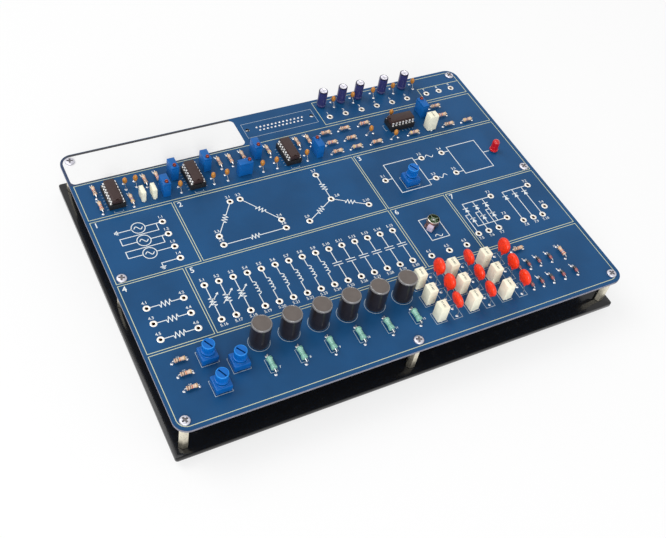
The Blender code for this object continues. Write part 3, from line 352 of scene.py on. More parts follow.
class Finish:
    """A Principled material written as sums on sockets."""

    def __init__(self, name, **plain):
        self.material = bpy.data.materials.new(name)
        self.material.use_nodes = True
        self.tree = self.material.node_tree
        self.shader = self.tree.nodes["Principled BSDF"]
        for socket, value in plain.items():
            self.put(socket.replace("_", " ").title(), value)

    def put(self, socket, value):
        """Set or link one socket of the shader."""
        self._feed(self.shader.inputs[socket], value)

    def _feed(self, socket, value):
        if isinstance(value, Value):
            self.tree.links.new(value.socket, socket)
        elif socket.type == "RGBA":
            socket.default_value = (*value[:3], 1.0)
        else:
            socket.default_value = value

    def add(self, kind, settings=None, sockets=None, output=0):
        """Add a node; its settings come before its sockets."""
        made = self.tree.nodes.new(kind)
        for name, value in (settings or {}).items():
            setattr(made, name, value)
        for key, value in (sockets or {}).items():
            self._feed(made.inputs[key], value)
        return Value(self, made.outputs[output])

    def place(self):
        """The point on the piece, in metres."""
        return self.add("ShaderNodeTexCoord", output="Object")

    def axis(self, index):
        """One coordinate of the point."""
        return self.add(
            "ShaderNodeSeparateXYZ", {}, {0: self.place()}, index
        )

    def noise(self, scale, detail=2.0, stretch=None):
        """Soft noise, with this many waves to the metre."""
        place = self.place()
        if stretch:
            place = self.add(
                "ShaderNodeMapping", {}, {"Vector": place, "Scale": stretch}
            )
        return self.add(
            "ShaderNodeTexNoise", {},
            {"Vector": place, "Scale": scale, "Detail": detail},
        )

    def mix(self, factor, first, second):
        """Blend of two colours."""
        return self.add(
            "ShaderNodeMix", {"data_type": "RGBA"},
            {0: factor, 6: first, 7: second}, 2,
        )

    def bump(self, height, distance):
        """Relief of this depth from a 0 to 1 height."""
        self.put("Normal", self.add(
            "ShaderNodeBump", {}, {"Distance": distance, "Height": height}
        ))


def shaded(tint, share):
    """The same colour, darker or lighter."""
    return [min(1.0, channel * share) for channel in tint]


def moulded(name, tint, roughness=0.35, grain=0.00001, coat=0.0):
    """Moulded plastic: slight mottling and a fine grain."""
    made = Finish(name, coat_weight=coat)
    made.put("Specular IOR Level", 0.3)
    cloud = made.noise(260.0, 3.0).above(0.3, 0.7)
    made.put("Base Color", made.mix(
        cloud, shaded(tint, 0.94), shaded(tint, 1.05)
    ))
    made.put("Roughness", made.noise(2600.0) * 0.14 + (roughness - 0.07))
    made.bump(made.noise(5200.0), grain)
    return made.material


def metal(name, tint, roughness=0.25, stretch=None):
    """Plated metal: fine scratches and dull patches."""
    made = Finish(name, metallic=1.0)
    cloud = made.noise(700.0, 3.0).above(0.35, 0.75)
    scratch = made.noise(2400.0, 3.0, stretch)
    made.put("Base Color", made.mix(cloud, tint, shaded(tint, 0.74)))
    made.put("Roughness", scratch * 0.22 + (roughness - 0.06))
    made.bump(scratch, 0.000006)
    return made.material


def lacquered(name, tint, roughness=0.3, relief=0.00004):
    """Dipped lacquer: orange peel, darker where it runs thick."""
    made = Finish(name, coat_weight=0.35, coat_roughness=0.1)
    made.put("Specular IOR Level", 0.25)
    cloud = made.noise(700.0, 3.0).above(0.35, 0.8)
    made.put("Base Color", made.mix(cloud, tint, shaded(tint, 0.72)))
    made.put("Roughness", made.noise(1800.0) * 0.2 + (roughness - 0.1))
    made.bump(made.noise(1500.0, 2.0, (1.0, 1.0, 0.5)), relief)
    return made.material


def banded(name):
    """Lacquer in the colours that the piece's own attribute carries."""
    made = Finish(name, coat_weight=0.4, coat_roughness=0.15)
    paint = made.add("ShaderNodeAttribute", {"attribute_name": "paint"})
    cloud = made.noise(1300.0, 3.0).above(0.45, 0.8) * 0.22
    made.put("Base Color", made.mix(cloud, paint, (0.10, 0.06, 0.04)))
    made.put("Roughness", made.noise(1800.0) * 0.2 + 0.28)
    made.bump(made.noise(2200.0), 0.00002)
    return made.material


def solder_mask(tint):
    """Blue lacquer over glass cloth, with a trace of its weave."""
    made = Finish("solder_mask")
    made.put("Specular IOR Level", 0.2)
    weave = (made.axis(0) * 7000.0).wave() * (made.axis(1) * 7000.0).wave()
    cloud = made.noise(28.0, 3.0).above(0.3, 0.7)
    made.put("Base Color", made.mix(
        cloud, shaded(tint, 0.88), shaded(tint, 1.12)
    ))
    made.put("Roughness", made.noise(160.0, 4.0) * 0.16 + 0.26)
    made.bump(weave * 0.3 + made.noise(900.0, 3.0), 0.000012)
    return made.material


def fibre_edge():
    """Cut edge of the glass-fibre laminate, in thin layers."""
    made = Finish("fibre_edge")
    layer = made.noise(1500.0, 2.0, (0.2, 0.2, 6.0))
    made.put("Base Color", made.mix(
        layer.above(0.35, 0.65), (0.13, 0.14, 0.19), (0.27, 0.26, 0.31)
    ))
    made.put("Roughness", layer * 0.2 + 0.5)
    made.bump(layer, 0.00003)
    return made.material


def ink(name, tint):
    """Screen-printed ink: matt, with pinholes and thin spots."""
    made = Finish(name)
    thin = made.noise(3000.0, 3.0).above(0.66, 0.82) * 0.4
    made.put("Base Color", made.mix(thin, tint, shaded(tint, 0.55)))
    made.put("Roughness", made.noise(1400.0) * 0.2 + 0.45)
    made.bump(made.noise(4000.0), 0.000008)
    return made.material


def tin(name):
    """Bright tin plate and solder."""
    return metal(name, (0.86, 0.85, 0.83), 0.26)


def seen_rays(tree):
    """1 for rays that show the backdrop, to the eye or in a mirror."""
    path = tree.nodes.new("ShaderNodeLightPath")
    total = path.outputs["Is Camera Ray"]
    for name in ("Is Glossy Ray", "Is Transmission Ray"):
        plus = tree.nodes.new("ShaderNodeMath")
        tree.links.new(total, plus.inputs[0])
        tree.links.new(path.outputs[name], plus.inputs[1])
        total = plus.outputs[0]
    return total


def turned(degrees):
    """A turn about the upright axis."""
    return Matrix.Rotation(math.radians(degrees), 4, "Z")


def spot(u, v, lift=0.0, turn=0.0):
    """Place on the board from grid steps, with a turn in degrees."""
    return Matrix.Translation((
        BOARD_LOW.x + u * STEP, BOARD_LOW.y + v * STEP_Y, BOARD_TOP + lift,
    )) @ turned(turn)


def at_node(name, turn=0.0):
    """Foot of a CAD node, upright, with a turn in degrees."""
    low, high = (Vector(corner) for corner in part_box(name))
    return Matrix.Translation((
        (low.x + high.x) / 2, (low.y + high.y) / 2, low.z,
    )) @ turned(turn)


def above_node(name, height, turn=0.0):
    """Place over a CAD node's middle, at a height of its own."""
    place = at_node(name, turn)
    place.translation.z = height
    return place


def as_mesh(bm, name):
    """Keep the shape of a bmesh as a mesh."""
    mesh = bpy.data.meshes.new(name)
    bm.to_mesh(mesh)
    bm.free()
    return mesh


def rise(edge):
    """How far an edge climbs."""
    first, last = edge.verts
    return abs(first.co.z - last.co.z)


def edges_of(verts):
    """All edges that meet some corners, each once."""
    return list(dict.fromkeys(e for v in verts for e in v.link_edges))


def rounded(bm, edges, radius, segments):
    """Round some edges."""
    bmesh.ops.bevel(
        bm, geom=edges, offset=radius, offset_type="OFFSET",
        segments=segments, profile=0.5, affect="EDGES", material=-1,
        clamp_overlap=True,
    )


def cube(bm, size, centre, turn=None, look=0):
    """A sharp box, of which the corners come back."""
    place = Matrix.Translation(centre) @ (turn or Matrix())
    shape = place @ Matrix.Diagonal((*size, 1.0))
    verts = bmesh.ops.create_cube(bm, size=1.0, matrix=shape)["verts"]
    for vert in verts:
        for face in vert.link_faces:
            face.material_index = look
    return verts


def block(bm, size, centre=(0.0, 0.0, 0.0), edge=0.0, look=0, turn=None,
          upright=False, segments=2):
    """A box whose edges, or upright edges alone, are rounded."""
    edges = edges_of(cube(bm, size, centre, turn, look))
    if upright:
        edges = [e for e in edges if rise(e) > size[2] / 2]
    if edge:
        rounded(bm, edges, edge, segments)


def drum(bm, radius, depth, place):
    """A closed cylinder about a place."""
    bmesh.ops.create_cone(
        bm, cap_ends=True, segments=20, radius1=radius, radius2=radius,
        depth=depth, matrix=place,
    )


def lathe(bm, profile, sides, looks=(), place=None):
    """Spin a profile of radius and height, band by band."""
    old = set(bm.verts)
    for number, (start, end) in enumerate(zip(profile, profile[1:])):
        known = set(bm.faces)
        verts = [bm.verts.new((r, 0.0, z)) for r, z in (start, end)]
        bmesh.ops.spin(
            bm, geom=verts + [bm.edges.new(verts)], cent=(0, 0, 0),
            axis=(0, 0, 1), angle=2 * math.pi, steps=sides, use_merge=True,
        )
        for face in bm.faces:
            if face not in known:
                face.material_index = looks[number] if looks else 0
    fresh = [v for v in bm.verts if v not in old]
    bmesh.ops.remove_doubles(bm, verts=fresh, dist=1e-7)
    fresh = [v for v in bm.verts if v not in old]
    bmesh.ops.transform(bm, matrix=place or Matrix(), verts=fresh)
    return fresh


def tube(bm, path, radius, sides=8, look=0):
    """A round wire along a path, closed at both ends."""
    points = [Vector(point) for point in path]
    last = len(points) - 1
    rings = []
    known = set(bm.faces)
    for number, point in enumerate(points):
        along = points[min(number + 1, last)] - points[max(number - 1, 0)]
        aim = along.to_track_quat("Z", "Y").to_matrix().to_4x4()
        rings.append(set(bmesh.ops.create_circle(
            bm, cap_ends=number in (0, last), radius=radius, segments=sides,
            matrix=Matrix.Translation(point) @ aim,
        )["verts"]))
    for first, second in zip(rings, rings[1:]):
        edges = [
            e for e in bm.edges
            if any(set(e.verts) <= ring for ring in (first, second))
        ]
        bmesh.ops.bridge_loops(bm, edges=edges)
    for face in bm.faces:
        if face not in known:
            face.material_index = look


def pin(bm, x, y, top, end=PIN_END, radius=LEAD_RADIUS, sides=6, look=1):
    """A straight pin that goes down through the board."""
    tube(bm, ((x, y, top), (x, y, -end)), radius, sides, look)


def staple(bm, pitch, lift, radius=LEAD_RADIUS):
    """A lead that rises from the board, runs level and goes down again."""
    bend = 0.0006
    half = pitch / 2
    side = [
        (half, 0.0, -LEAD_END), (half, 0.0, lift - bend),
        (half - 0.3 * bend, 0.0, lift - 0.3 * bend),
        (half - bend, 0.0, lift),
    ]
    path = [(-x, y, z) for x, y, z in side] + side[::-1]
    tube(bm, path, radius, look=1)


def pattern(build, *values):
    """A mesh made once, to be stamped in many places."""
    bm = bmesh.new()
    build(bm, *values)
    bmesh.ops.recalc_face_normals(bm, faces=bm.faces)
    return as_mesh(bm, build.__name__)


def stamp(bm, mesh, places):
    """Copies of a mesh, each at its place."""
    for place in places:
        copy = mesh.copy()
        copy.transform(place)
        bm.from_mesh(copy)
        bpy.data.meshes.remove(copy)


def stamped(mesh, places):
    """A new bmesh that holds a mesh at each place."""
    bm = bmesh.new()
    stamp(bm, mesh, places)
    return bm


def evaluated(obj):
    """A mesh of what an object shows, and the object is removed."""
    bpy.context.view_layer.update()
    shown = obj.evaluated_get(bpy.context.evaluated_depsgraph_get())
    mesh = bpy.data.meshes.new_from_object(shown)
    bpy.data.objects.remove(obj, do_unlink=True)
    return mesh


def carved(body, tool, looks=1):
    """A body with a tool's shape taken away, and as many material slots."""
    objects = []
    for mesh in (body, tool):
        for _ in range(looks):
            mesh.materials.append(None)
        obj = bpy.data.objects.new("carving", mesh)
        bpy.context.scene.collection.objects.link(obj)
        objects.append(obj)
    cut = objects[0].modifiers.new("Cut", "BOOLEAN")
    cut.operation = "DIFFERENCE"
    cut.solver = "EXACT"
    cut.use_self = True
    cut.object = objects[1]
    mesh = evaluated(objects[0])
    bpy.data.objects.remove(objects[1], do_unlink=True)
    return mesh


def bolder(size):
    """How much a number's strokes grow, to print as thick as the photo's."""
    return size * 0.012


def lettering(bm, words, size, height):
    """Plain numbers, each centred on its own place."""
    objects = []
    for text, place in words:
        curve = bpy.data.curves.new("number", "FONT")
        curve.body = text
        curve.size = size
        curve.extrude = height
        curve.offset = bolder(size)
        curve.resolution_u = 2
        curve.align_x = "CENTER"
        curve.align_y = "CENTER"
        obj = bpy.data.objects.new("number", curve)
        bpy.context.scene.collection.objects.link(obj)
        objects.append((obj, place))
    for obj, place in objects:
        mesh = evaluated(obj)
        mesh.transform(place)
        bm.from_mesh(mesh)
        bpy.data.meshes.remove(mesh)


def paint(bm, palette):
    """Carry each face's colour in an attribute instead of its slot."""
    layer = bm.loops.layers.float_color.new("paint")
    for face in bm.faces:
        if face.material_index < len(palette):
            for loop in face.loops:
                loop[layer] = (*palette[face.material_index], 1.0)
            face.material_index = 0


def new_piece(name, bm, looks, slot, *stands_for, body="module",
              smooth=SMOOTH_ANGLE):
    """Finish a mesh as a piece of its own that rides on a body."""
    mesh = as_mesh(bm, name)
    for look in looks:
        mesh.materials.append(look)
    mesh.shade_smooth()
    mesh.set_sharp_from_angle(angle=math.radians(smooth))
    piece = bpy.data.objects.new(name, mesh)
    bpy.context.scene.collection.objects.link(piece)
    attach(piece, body)
    if stands_for:
        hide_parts(*stands_for)


def on_board(name, bm, *looks, smooth=SMOOTH_ANGLE):
    """Finish a mesh as a piece that belongs to the circuit board."""
    new_piece(name, bm, looks, "board_blue", "circuit_board", smooth=smooth)


def numbered(name, count):
    """Names of like CAD nodes."""
    return ["%s_%d" % (name, number) for number in range(1, count + 1)]


class Pen:
    """Ink in grid steps, drawn as thin solids half sunk in the board."""

    def __init__(self, width, height):
        self.bm = bmesh.new()
        self.width = width
        self.height = height
        self.strokes = 0

    def level(self):
        """Strokes differ a little in height, so no two tops coincide."""
        levels, step = 6, 0.07
        self.strokes += 1
        return self.height * (1.0 + step * (self.strokes % levels))

    def path(self, *points, closed=False):
        """Straight strokes from point to point."""
        ends = points[1:] + points[:1] if closed else points[1:]
        for start, end in zip(points, ends):
            first, last = (spot(*p).translation for p in (start, end))
            along = last - first
            block(
                self.bm,
                (along.length + self.width, self.width, 2 * self.level()),
                (first + last) / 2,
                turn=turned(math.degrees(math.atan2(along.y, along.x))),
            )

    def box(self, left, front, right, rear):
        """A rectangle."""
        self.path((left, front), (right, front), (right, rear),
                  (left, rear), closed=True)

    def box_round(self, u, v, half, front, rear):
        """A rectangle that reaches this far from a place on each side."""
        self.box(u - half, v - front, u + half, v + rear)

    def ring(self, u, v, radius):
        """A circle."""
        inner = radius * STEP - self.width / 2
        outer = inner + self.width
        high = self.level()
        lathe(
            self.bm, ((inner, -high), (outer, -high), (outer, high),
                      (inner, high), (inner, -high)),
            32, place=spot(u, v),
        )

    def wedge(self, u, v, radius, turn=0.0):
        """A filled triangle that points away from the turn's start."""
        bmesh.ops.create_cone(
            self.bm, cap_ends=True, segments=3, radius1=radius * STEP,
            radius2=radius * STEP, depth=2 * self.level(),
            matrix=spot(u, v, turn=turn),
        )

    def wave(self, u, v, half, rise):
        """One period of a sine."""
        self.path(*(
            (u + half * (n / 6 - 1), v + rise * math.sin(n * math.pi / 6))
            for n in range(13)
        ))

    def resistor(self, start, end, size=6.6, rise=1.6):
        """A zigzag in the middle of a line."""
        first, last = Vector(start), Vector(end)
        along = (last - first).normalized()
        across = Vector((-along.y, along.x)) * rise
        middle = (first + last) / 2
        zigzag = [middle - along * size / 2]
        for number in range(6):
            share = (number + 0.5) / 6 - 0.5
            side = 1 if number % 2 else -1
            zigzag.append(middle + along * size * share + across * side)
        zigzag.append(middle + along * size / 2)
        self.path(*(tuple(p) for p in (first, *zigzag, last)))

    def coil(self, u, high, low, count=4):
        """Half turns that bulge to the right."""
        size = (high - low) / count
        points = []
        for number in range(count):
            middle = high - (number + 0.5) * size
            points += [
                (u + 1.9 * math.sin(n * math.pi / 5),
                 middle + size / 2 * math.cos(n * math.pi / 5))
                for n in range(6)
            ]
        self.path(*points)


def arc(u, v, radius, start, end, steps=6):
    """Points along an arc, with its angles in degrees."""
    angles = (start + (end - start) * n / steps for n in range(steps + 1))
    return [
        (u + radius * math.cos(math.radians(a)),
         v + radius * math.sin(math.radians(a)))
        for a in angles
    ]


def terminal_places():
    """Grid places of all terminals, with their numbers."""
    places = [
        (u, v, section + str(n), NUMBER_SIDES.get(section + str(n), 1))
        for section, ends in TERMINALS.items()
        for n, (u, v) in enumerate(ends, 1)
    ]
    for row, (v, side) in enumerate(((ROW_REAR, 1), (ROW_FRONT, -1))):
        for n in range(ROW_COUNT):
            number = "5.%d" % (n + 1 + row * ROW_COUNT)
            places.append((ROW_START + n * ROW_PITCH, v, number, side))
    return places


class TRAINER_OT_board_panel(bpy.types.Operator):
    """Make the lacquered laminate with its terminal and lock holes"""

    bl_idname = "trainer.board_panel"
    bl_label = "Board Panel"

    def execute(self, context):
        settings = context.scene.trainer_board
        bore = context.scene.trainer_terminals.bore
        size = BOARD_HIGH - BOARD_LOW
        centre = (BOARD_HIGH + BOARD_LOW) / 2
        centre.z = (BOARD_TOP + BOARD_UNDER) / 2
        slab = bmesh.new()
        block(slab, (size.x, size.y, BOARD_THICKNESS), centre, BOARD_CORNER,
              upright=True, segments=12)
        clearance = 0.0002
        holes = [(u, v, bore + clearance) for u, v, _, _ in terminal_places()]
        u, v = SOCKET_CENTRE
        holes += [(u + side * LOCK_HOLE_ASIDE, v + LOCK_HOLE_REAR,
                   LOCK_HOLE_RADIUS) for side in (-1, 1)]
        drills = bmesh.new()
        for u, v, radius in holes:
            drum(drills, radius, 4 * BOARD_THICKNESS, spot(u, v))
        panel = stamped(
            carved(as_mesh(slab, "board"), as_mesh(drills, "drills")),
            [Matrix()],
        )
        rim = BOARD_CORNER + 0.001
        for face in panel.faces:
            if abs(face.normal.z) < 0.5:
                middle = face.calc_center_median() - centre
                outer = (abs(middle.x) > size.x / 2 - rim
                         or abs(middle.y) > size.y / 2 - rim)
                face.material_index = 1 if outer else 2
        on_board("board_panel", panel, solder_mask(settings.mask),
                 fibre_edge(), tin("plated_holes"))
        return {"FINISHED"}


class TRAINER_OT_label_field(bpy.types.Operator):
    """Make the bare white field at the rear left"""

    bl_idname = "trainer.label_field"
    bl_label = "Label Field"

    def execute(self, context):
        settings = context.scene.trainer_board
        low, high = (spot(*p).translation
                     for p in ((1.6, 187.9), (120.0, 212.2)))
        size = high - low
        bm = bmesh.new()
        verts = cube(bm, (size.x, size.y, 3 * settings.ink), (low + high) / 2)
        upright = [e for e in edges_of(verts) if rise(e) > settings.ink]
        rear_left = [e for e in upright if e.verts[0].co.x < low.x + STEP
                     and e.verts[0].co.y > high.y - STEP]
        others = [e for e in upright if e not in rear_left]
        for edges, radius in ((rear_left, 0.006), (others, 0.003)):
            rounded(bm, edges, radius, 8)
        # A dark sheet, a painted shadow of the field, runs round it and under
        # its edges
        left, rear = BOARD_LOW.x + 0.0002, BOARD_HIGH.y - 0.0003
        front, right = low.y - 0.0007, high.x - 0.002
        verts = cube(
            bm, (right - left, rear - front, 2 * settings.ink),
            ((left + right) / 2, (front + rear) / 2, BOARD_TOP), look=1,
        )
        corner = [
            e for e in edges_of(verts)
            if all(v.co.x < left + STEP and v.co.y > rear - STEP
                   for v in e.verts)
        ]
        rounded(bm, corner, 0.0074, 8)
        # The painted shadow is bluish black at the left and grey further right
        margin = Finish("margin_painted_shadow")
        margin.put("Base Color", margin.mix(
            margin.axis(0).above(left + 0.001, left + 0.009),
            (0.012, 0.030, 0.085), (0.028, 0.028, 0.034),
        ))
        margin.put("Roughness", margin.noise(1400.0) * 0.2 + 0.4)
        on_board("label_field", bm, ink("label_white", settings.label),
                 margin.material)
        return {"FINISHED"}


class TRAINER_OT_section_frames(bpy.types.Operator):
    """Print the pale frames round the sections"""

    bl_idname = "trainer.section_frames"
    bl_label = "Section Frames"

    def execute(self, context):
        settings = context.scene.trainer_board
        pen = Pen(settings.border_width, settings.ink)
        for section in SECTIONS:
            pen.box(*section)
        pen.path(
            (2.3, 50.8), *arc(8.0, 8.4, 5.7, 180, 270),
            *arc(291.4, 8.4, 5.7, 270, 360), (297.1, 50.8), closed=True,
        )
        pen.path(
            (180.4, 188.5), (180.4, 211.8), *arc(291.4, 206.1, 5.7, 90, 0),
            (297.1, 188.5), closed=True,
        )
        pen.path((262.0, 188.5), (262.0, 201.4), (297.1, 201.4))
        on_board("section_frames", pen.bm, ink("frame_ink", settings.border))
        return {"FINISHED"}


class TRAINER_OT_circuit_symbols(bpy.types.Operator):
    """Print the circuit diagrams and the outlines of the parts"""

    bl_idname = "trainer.circuit_symbols"
    bl_label = "Circuit Symbols"

    def sources(self, pen):
        """Section 1: three sources in a row, and the ground."""
        for v in (141.2, 130.7, 120.2):
            pen.ring(28.3, v, 4.2)
            pen.wave(28.3, v, 2.6, 1.3)
            pen.path((32.5, v), (41.7, v))
        pen.path((24.1, 141.2), (15.5, 141.2))
        for n, half in enumerate((1.5, 1.0, 0.5)):
            pen.path((15.2 - 0.8 * n, 141.2 - half),
                     (15.2 - 0.8 * n, 141.2 + half))
        for v in (141.2, 130.7):
            pen.path((39.6, v), (39.6, v - 5.4), (15.0, v - 5.4),
                     (15.0, v - 10.5), (24.1, v - 10.5))
        pen.path((41.7, 110.7), (32.1, 110.7), (32.1, 107.9))
        for n, half in enumerate((1.6, 1.0, 0.4)):
            pen.path((32.1 - half, 107.9 - 0.9 * n),
                     (32.1 + half, 107.9 - 0.9 * n))

    def loads(self, pen):
        """Section 2: a delta and a star of resistors."""
        pen.resistor((88.3, 141.3), (73.3, 120.5))
        pen.resistor((97.6, 141.2), (112.9, 120.3))
        pen.resistor((74.3, 111.3), (111.9, 111.3))
        pen.resistor((152.1, 144.6), (152.1, 126.3))
        pen.resistor((150.1, 122.9), (132.4, 112.5))
        pen.resistor((154.0, 123.0), (171.5, 112.7))

    def phase(self, pen):
        """Section 3: the two function boxes."""
        pen.box(199.8, 113.6, 222.5, 140.2)
        pen.box(250.9, 115.2, 273.8, 141.6)
        for start, end, v in (
            (196.6, 199.8, 127.1), (222.5, 226.5, 137.9),
            (222.5, 226.5, 118.0), (247.2, 250.9, 138.0),
            (247.1, 250.9, 118.0), (273.8, 278.6, 129.0),
        ):
            pen.path((start, v), (end, v))
        pen.wave(234.8, 138.0, 3.0, 1.4)
        pen.wave(234.5, 118.3, 3.0, -1.4)

    def bench(self, pen):
        """Sections 4 and 5: resistors, coils and capacitors."""
        for v in (82.15, 70.75, 59.3):
            pen.resistor((14.8, v), (32.8, v), 7.4, 1.9)
        for n in range(ROW_COUNT):
            u = ROW_START + n * ROW_PITCH
            if n < 3:
                pen.resistor((u, 84.4), (u, 62.6), 6.4, 1.7)
                pen.path((u - 3.4, 70.6), (u + 4.4, 78.2))
                pen.wedge(u + 4.6, 78.4, 1.1, -45)
            elif n < 9:
                pen.path((u, 84.4), (u, 79.0))
                pen.coil(u, 79.0, 69.4)
                pen.path((u, 69.4), (u, 62.6))
            else:
                pen.path((u, 84.4), (u, 75.2))
                pen.path((u - 3.0, 75.2), (u + 3.0, 75.2))
                pen.path((u - 3.0, 73.4), (u + 3.0, 73.4))
                pen.path((u, 73.4), (u, 62.6))

    def bridges(self, pen):
        """Sections 6 and 7: the motor's box and the diode bridges."""
        pen.box(197.4, 70.4, 210.5, 88.3)
        pen.wave(204.0, 72.9, 2.6, 1.1)
        columns = (232.8, 240.8, 248.4)
        pen.path((232.8, 90.9), (253.6, 90.9))
        pen.path((232.8, 70.9), (253.4, 70.9))
        for u, foot in zip(columns, (229.6, 237.5, 245.4)):
            pen.path((u, 90.9), (u, 70.9))
            pen.path((u, 81.5), (foot, 81.5), (foot, 67.4))
            for v in (85.3, 76.2):
                self.diode(pen, u, v)
        pen.path((265.1, 91.4), (284.2, 91.4))
        for u in (265.1, 273.0, 280.7):
            pen.path((u, 91.4), (u, 67.3))
            self.diode(pen, u, 86.0)

    def diode(self, pen, u, v):
        """A filled triangle under a bar."""
        pen.wedge(u, v - 0.4, 1.9)
        pen.path((u - 1.8, v + 1.6), (u + 1.8, v + 1.6))

    def outlines(self, pen):
        """Outlines round the parts' places."""
        for u, v in INDUCTOR_RINGS:
            pen.ring(u, v, 6.4)
        pots = [at_node(name).translation - BOARD_LOW
                for name in numbered("pot_body", 4)]
        for places, half, front, rear in (
            (CHOKES, 2.2, 4.6, 4.6), (FILMS, 3.6, 4.1, 4.1),
            (DISCS, 3.1, 4.4, 5.2),
            ([(p.x / STEP, p.y / STEP_Y) for p in pots], 5.2, 5.2, 5.2),
        ):
            for u, v in places:
                pen.box_round(u, v, half, front, rear)
        for u in (22.0, 74.7, 142.5):
            pen.path((u - 2.8, 158.4), (u - 2.8, 157.2),
                     (u + 2.8, 157.2), (u + 2.8, 158.4))
        pen.path((219.4, 169.8), (218.2, 169.8), (218.2, 174.9),
                 (219.4, 174.9))
        pen.box(123.7, 192.7, 176.7, 206.3)
        for u, v, turn in CHIPS:
            for n in range(-3, 4):
                for side in (-1, 1):
                    near, far = 5.6 * side, 6.3 * side
                    along = 2.63 * n
                    pen.path(*(
                        [(u + near, v + along), (u + far, v + along)]
                        if turn else
                        [(u + along, v + near), (u + along, v + far)]
                    ))

    def execute(self, context):
        settings = context.scene.trainer_board
        pen = Pen(settings.symbol_width, settings.ink)
        for draw in (self.sources, self.loads, self.phase, self.bench,
                     self.bridges):
            draw(pen)
        fine = Pen(settings.outline_width, settings.ink)
        self.outlines(fine)
        for name, made, tint in (
            ("circuit_symbols", pen, settings.symbol),
            ("part_outlines", fine, settings.outline),
        ):
            on_board(name, made.bm, ink(name + "_ink", tint))
        return {"FINISHED"}


class TRAINER_OT_numbers(bpy.types.Operator):
    """Print the plain numbers of the sections and terminals"""

    bl_idname = "trainer.numbers"
    bl_label = "Numbers"

    def execute(self, context):
        settings = context.scene.trainer_board
        bm = bmesh.new()
        words = []
        for u, v, number, side in terminal_places():
            shift = (0.0, 4.0 * side) if side else (5.0, 1.6)
            words.append((number, spot(u + shift[0], v + shift[1])))
        lettering(bm, words, settings.digit, settings.ink)
        sections = [(text, spot(u, v)) for u, v, text in SECTION_NUMBERS]
        lettering(bm, sections, 2.0 * settings.digit, settings.ink)
        words = [
            (str(n), spot(u - 0.8, v + 6.2) if turn else spot(u, v + 2.7))
            for n, (u, v, turn, _) in enumerate(RESISTORS, 1)
        ]
        words += [(str(n), spot(u - 0.8, v + 4.9))
                  for n, (u, v) in enumerate(DIODES, 1)]
        words += [(str(n), spot(u + 4.4, v - 2.6))
                  for n, (u, v) in enumerate(CHOKES, 7)]
        lettering(bm, words, 0.7 * settings.digit, settings.ink)
        on_board("numbers", bm, ink("number_ink", settings.symbol))
        return {"FINISHED"}


def eyelet(bm, rim, bore, sides):
    """A rolled rim, with a blind barrel below it."""
    floor, foot, wall = -0.0024, -0.0029, 0.00014
    lathe(
        bm,
        (
            (0.0, floor), (bore, floor), (bore, 0.0),
            (bore + 0.06 * rim, 0.00016), (0.80 * rim, 0.00018),
            (0.94 * rim, 0.00013), (rim, 0.00004), (rim, -0.00002),
            (bore + wall, -0.00002), (bore + wall, foot), (0.0, foot),
        ),
        # The floor and wall of the bore take the second look, dark brown
        # painted shade down the hole
        sides, (1, 1, 0, 0, 0, 0, 0, 0, 0, 0),
    )


class TRAINER_OT_terminals(bpy.types.Operator):
    """Make the tinned eyelets that the leads plug into"""

    bl_idname = "trainer.terminals"
    bl_label = "Terminals"

    def execute(self, context):
        settings = context.scene.trainer_terminals
        mesh = pattern(eyelet, settings.rim, settings.bore, settings.sides)
        bm = stamped(mesh, [spot(u, v) for u, v, _, _ in terminal_places()])
        # Dark brown metal in the bore is painted shade
        dark = metal("terminal_bore_painted_shade", (0.15, 0.085, 0.055), 0.6)
        ring = metal("terminal_tin", (0.92, 0.88, 0.81), 0.42)
        on_board("terminals", bm, ring, dark, smooth=50.0)
        return {"FINISHED"}


# Outline of a dog-bone body: share of its half length, share of its radius
BONE = (
    (-1.0, 0.0), (-0.98, 0.7), (-0.91, 1.0), (-0.84, 1.0), (-0.70, 1.0),
    (-0.62, 1.0), (-0.52, 0.85), (-0.38, 0.84), (-0.24, 0.84),
    (-0.10, 0.84), (0.04, 0.84), (0.18, 0.84), (0.32, 0.84), (0.52, 0.85),
    (0.62, 1.0), (0.70, 1.0), (0.84, 1.0), (0.91, 1.0), (0.98, 0.7),
    (1.0, 0.0),
)
BAND_PLACES = (3, 7, 9, 15)
BAND_COLOURS = {
    "black": (0.010, 0.010, 0.010), "brown": (0.110, 0.030, 0.012),
    "red": (0.450, 0.020, 0.015), "orange": (0.700, 0.160, 0.020),
    "yellow": (0.720, 0.520, 0.040), "violet": (0.140, 0.030, 0.240),
    "gold": (0.420, 0.260, 0.060), "green": (0.090, 0.300, 0.230),
    "teal": (0.160, 0.430, 0.340),
}
RESISTOR_BANDS = (
    ("brown", "black", "red", "gold"), ("red", "violet", "orange", "gold"),
    ("yellow", "violet", "brown", "gold"),
    ("brown", "black", "orange", "gold"),
    ("orange", "black", "brown", "gold"),
)


def lying(lift):
    """A turn that lays an upright shape along the x axis."""
    return Matrix.Translation((0, 0, lift)) @ Matrix.Rotation(
        math.pi / 2, 4, "Y"
    )


def bone(bm, size, radius, pitch, lift, body, bands):
    """A lying dog-bone body with colour bands, on its bent lead."""
    profile = [(radius * r, size / 2 * share) for share, r in BONE]
    looks = [0] * (len(profile) - 1)
    for number, place in enumerate(BAND_PLACES, 1):
        looks[place] = number
    lathe(bm, profile, 12, looks, lying(lift))
    paint(bm, [body, *(BAND_COLOURS[band] for band in bands)])
    staple(bm, pitch, lift)


def painted_mesh():
    """An empty mesh that can take painted patterns."""
    bm = bmesh.new()
    bm.loops.layers.float_color.new("paint")
    return bm


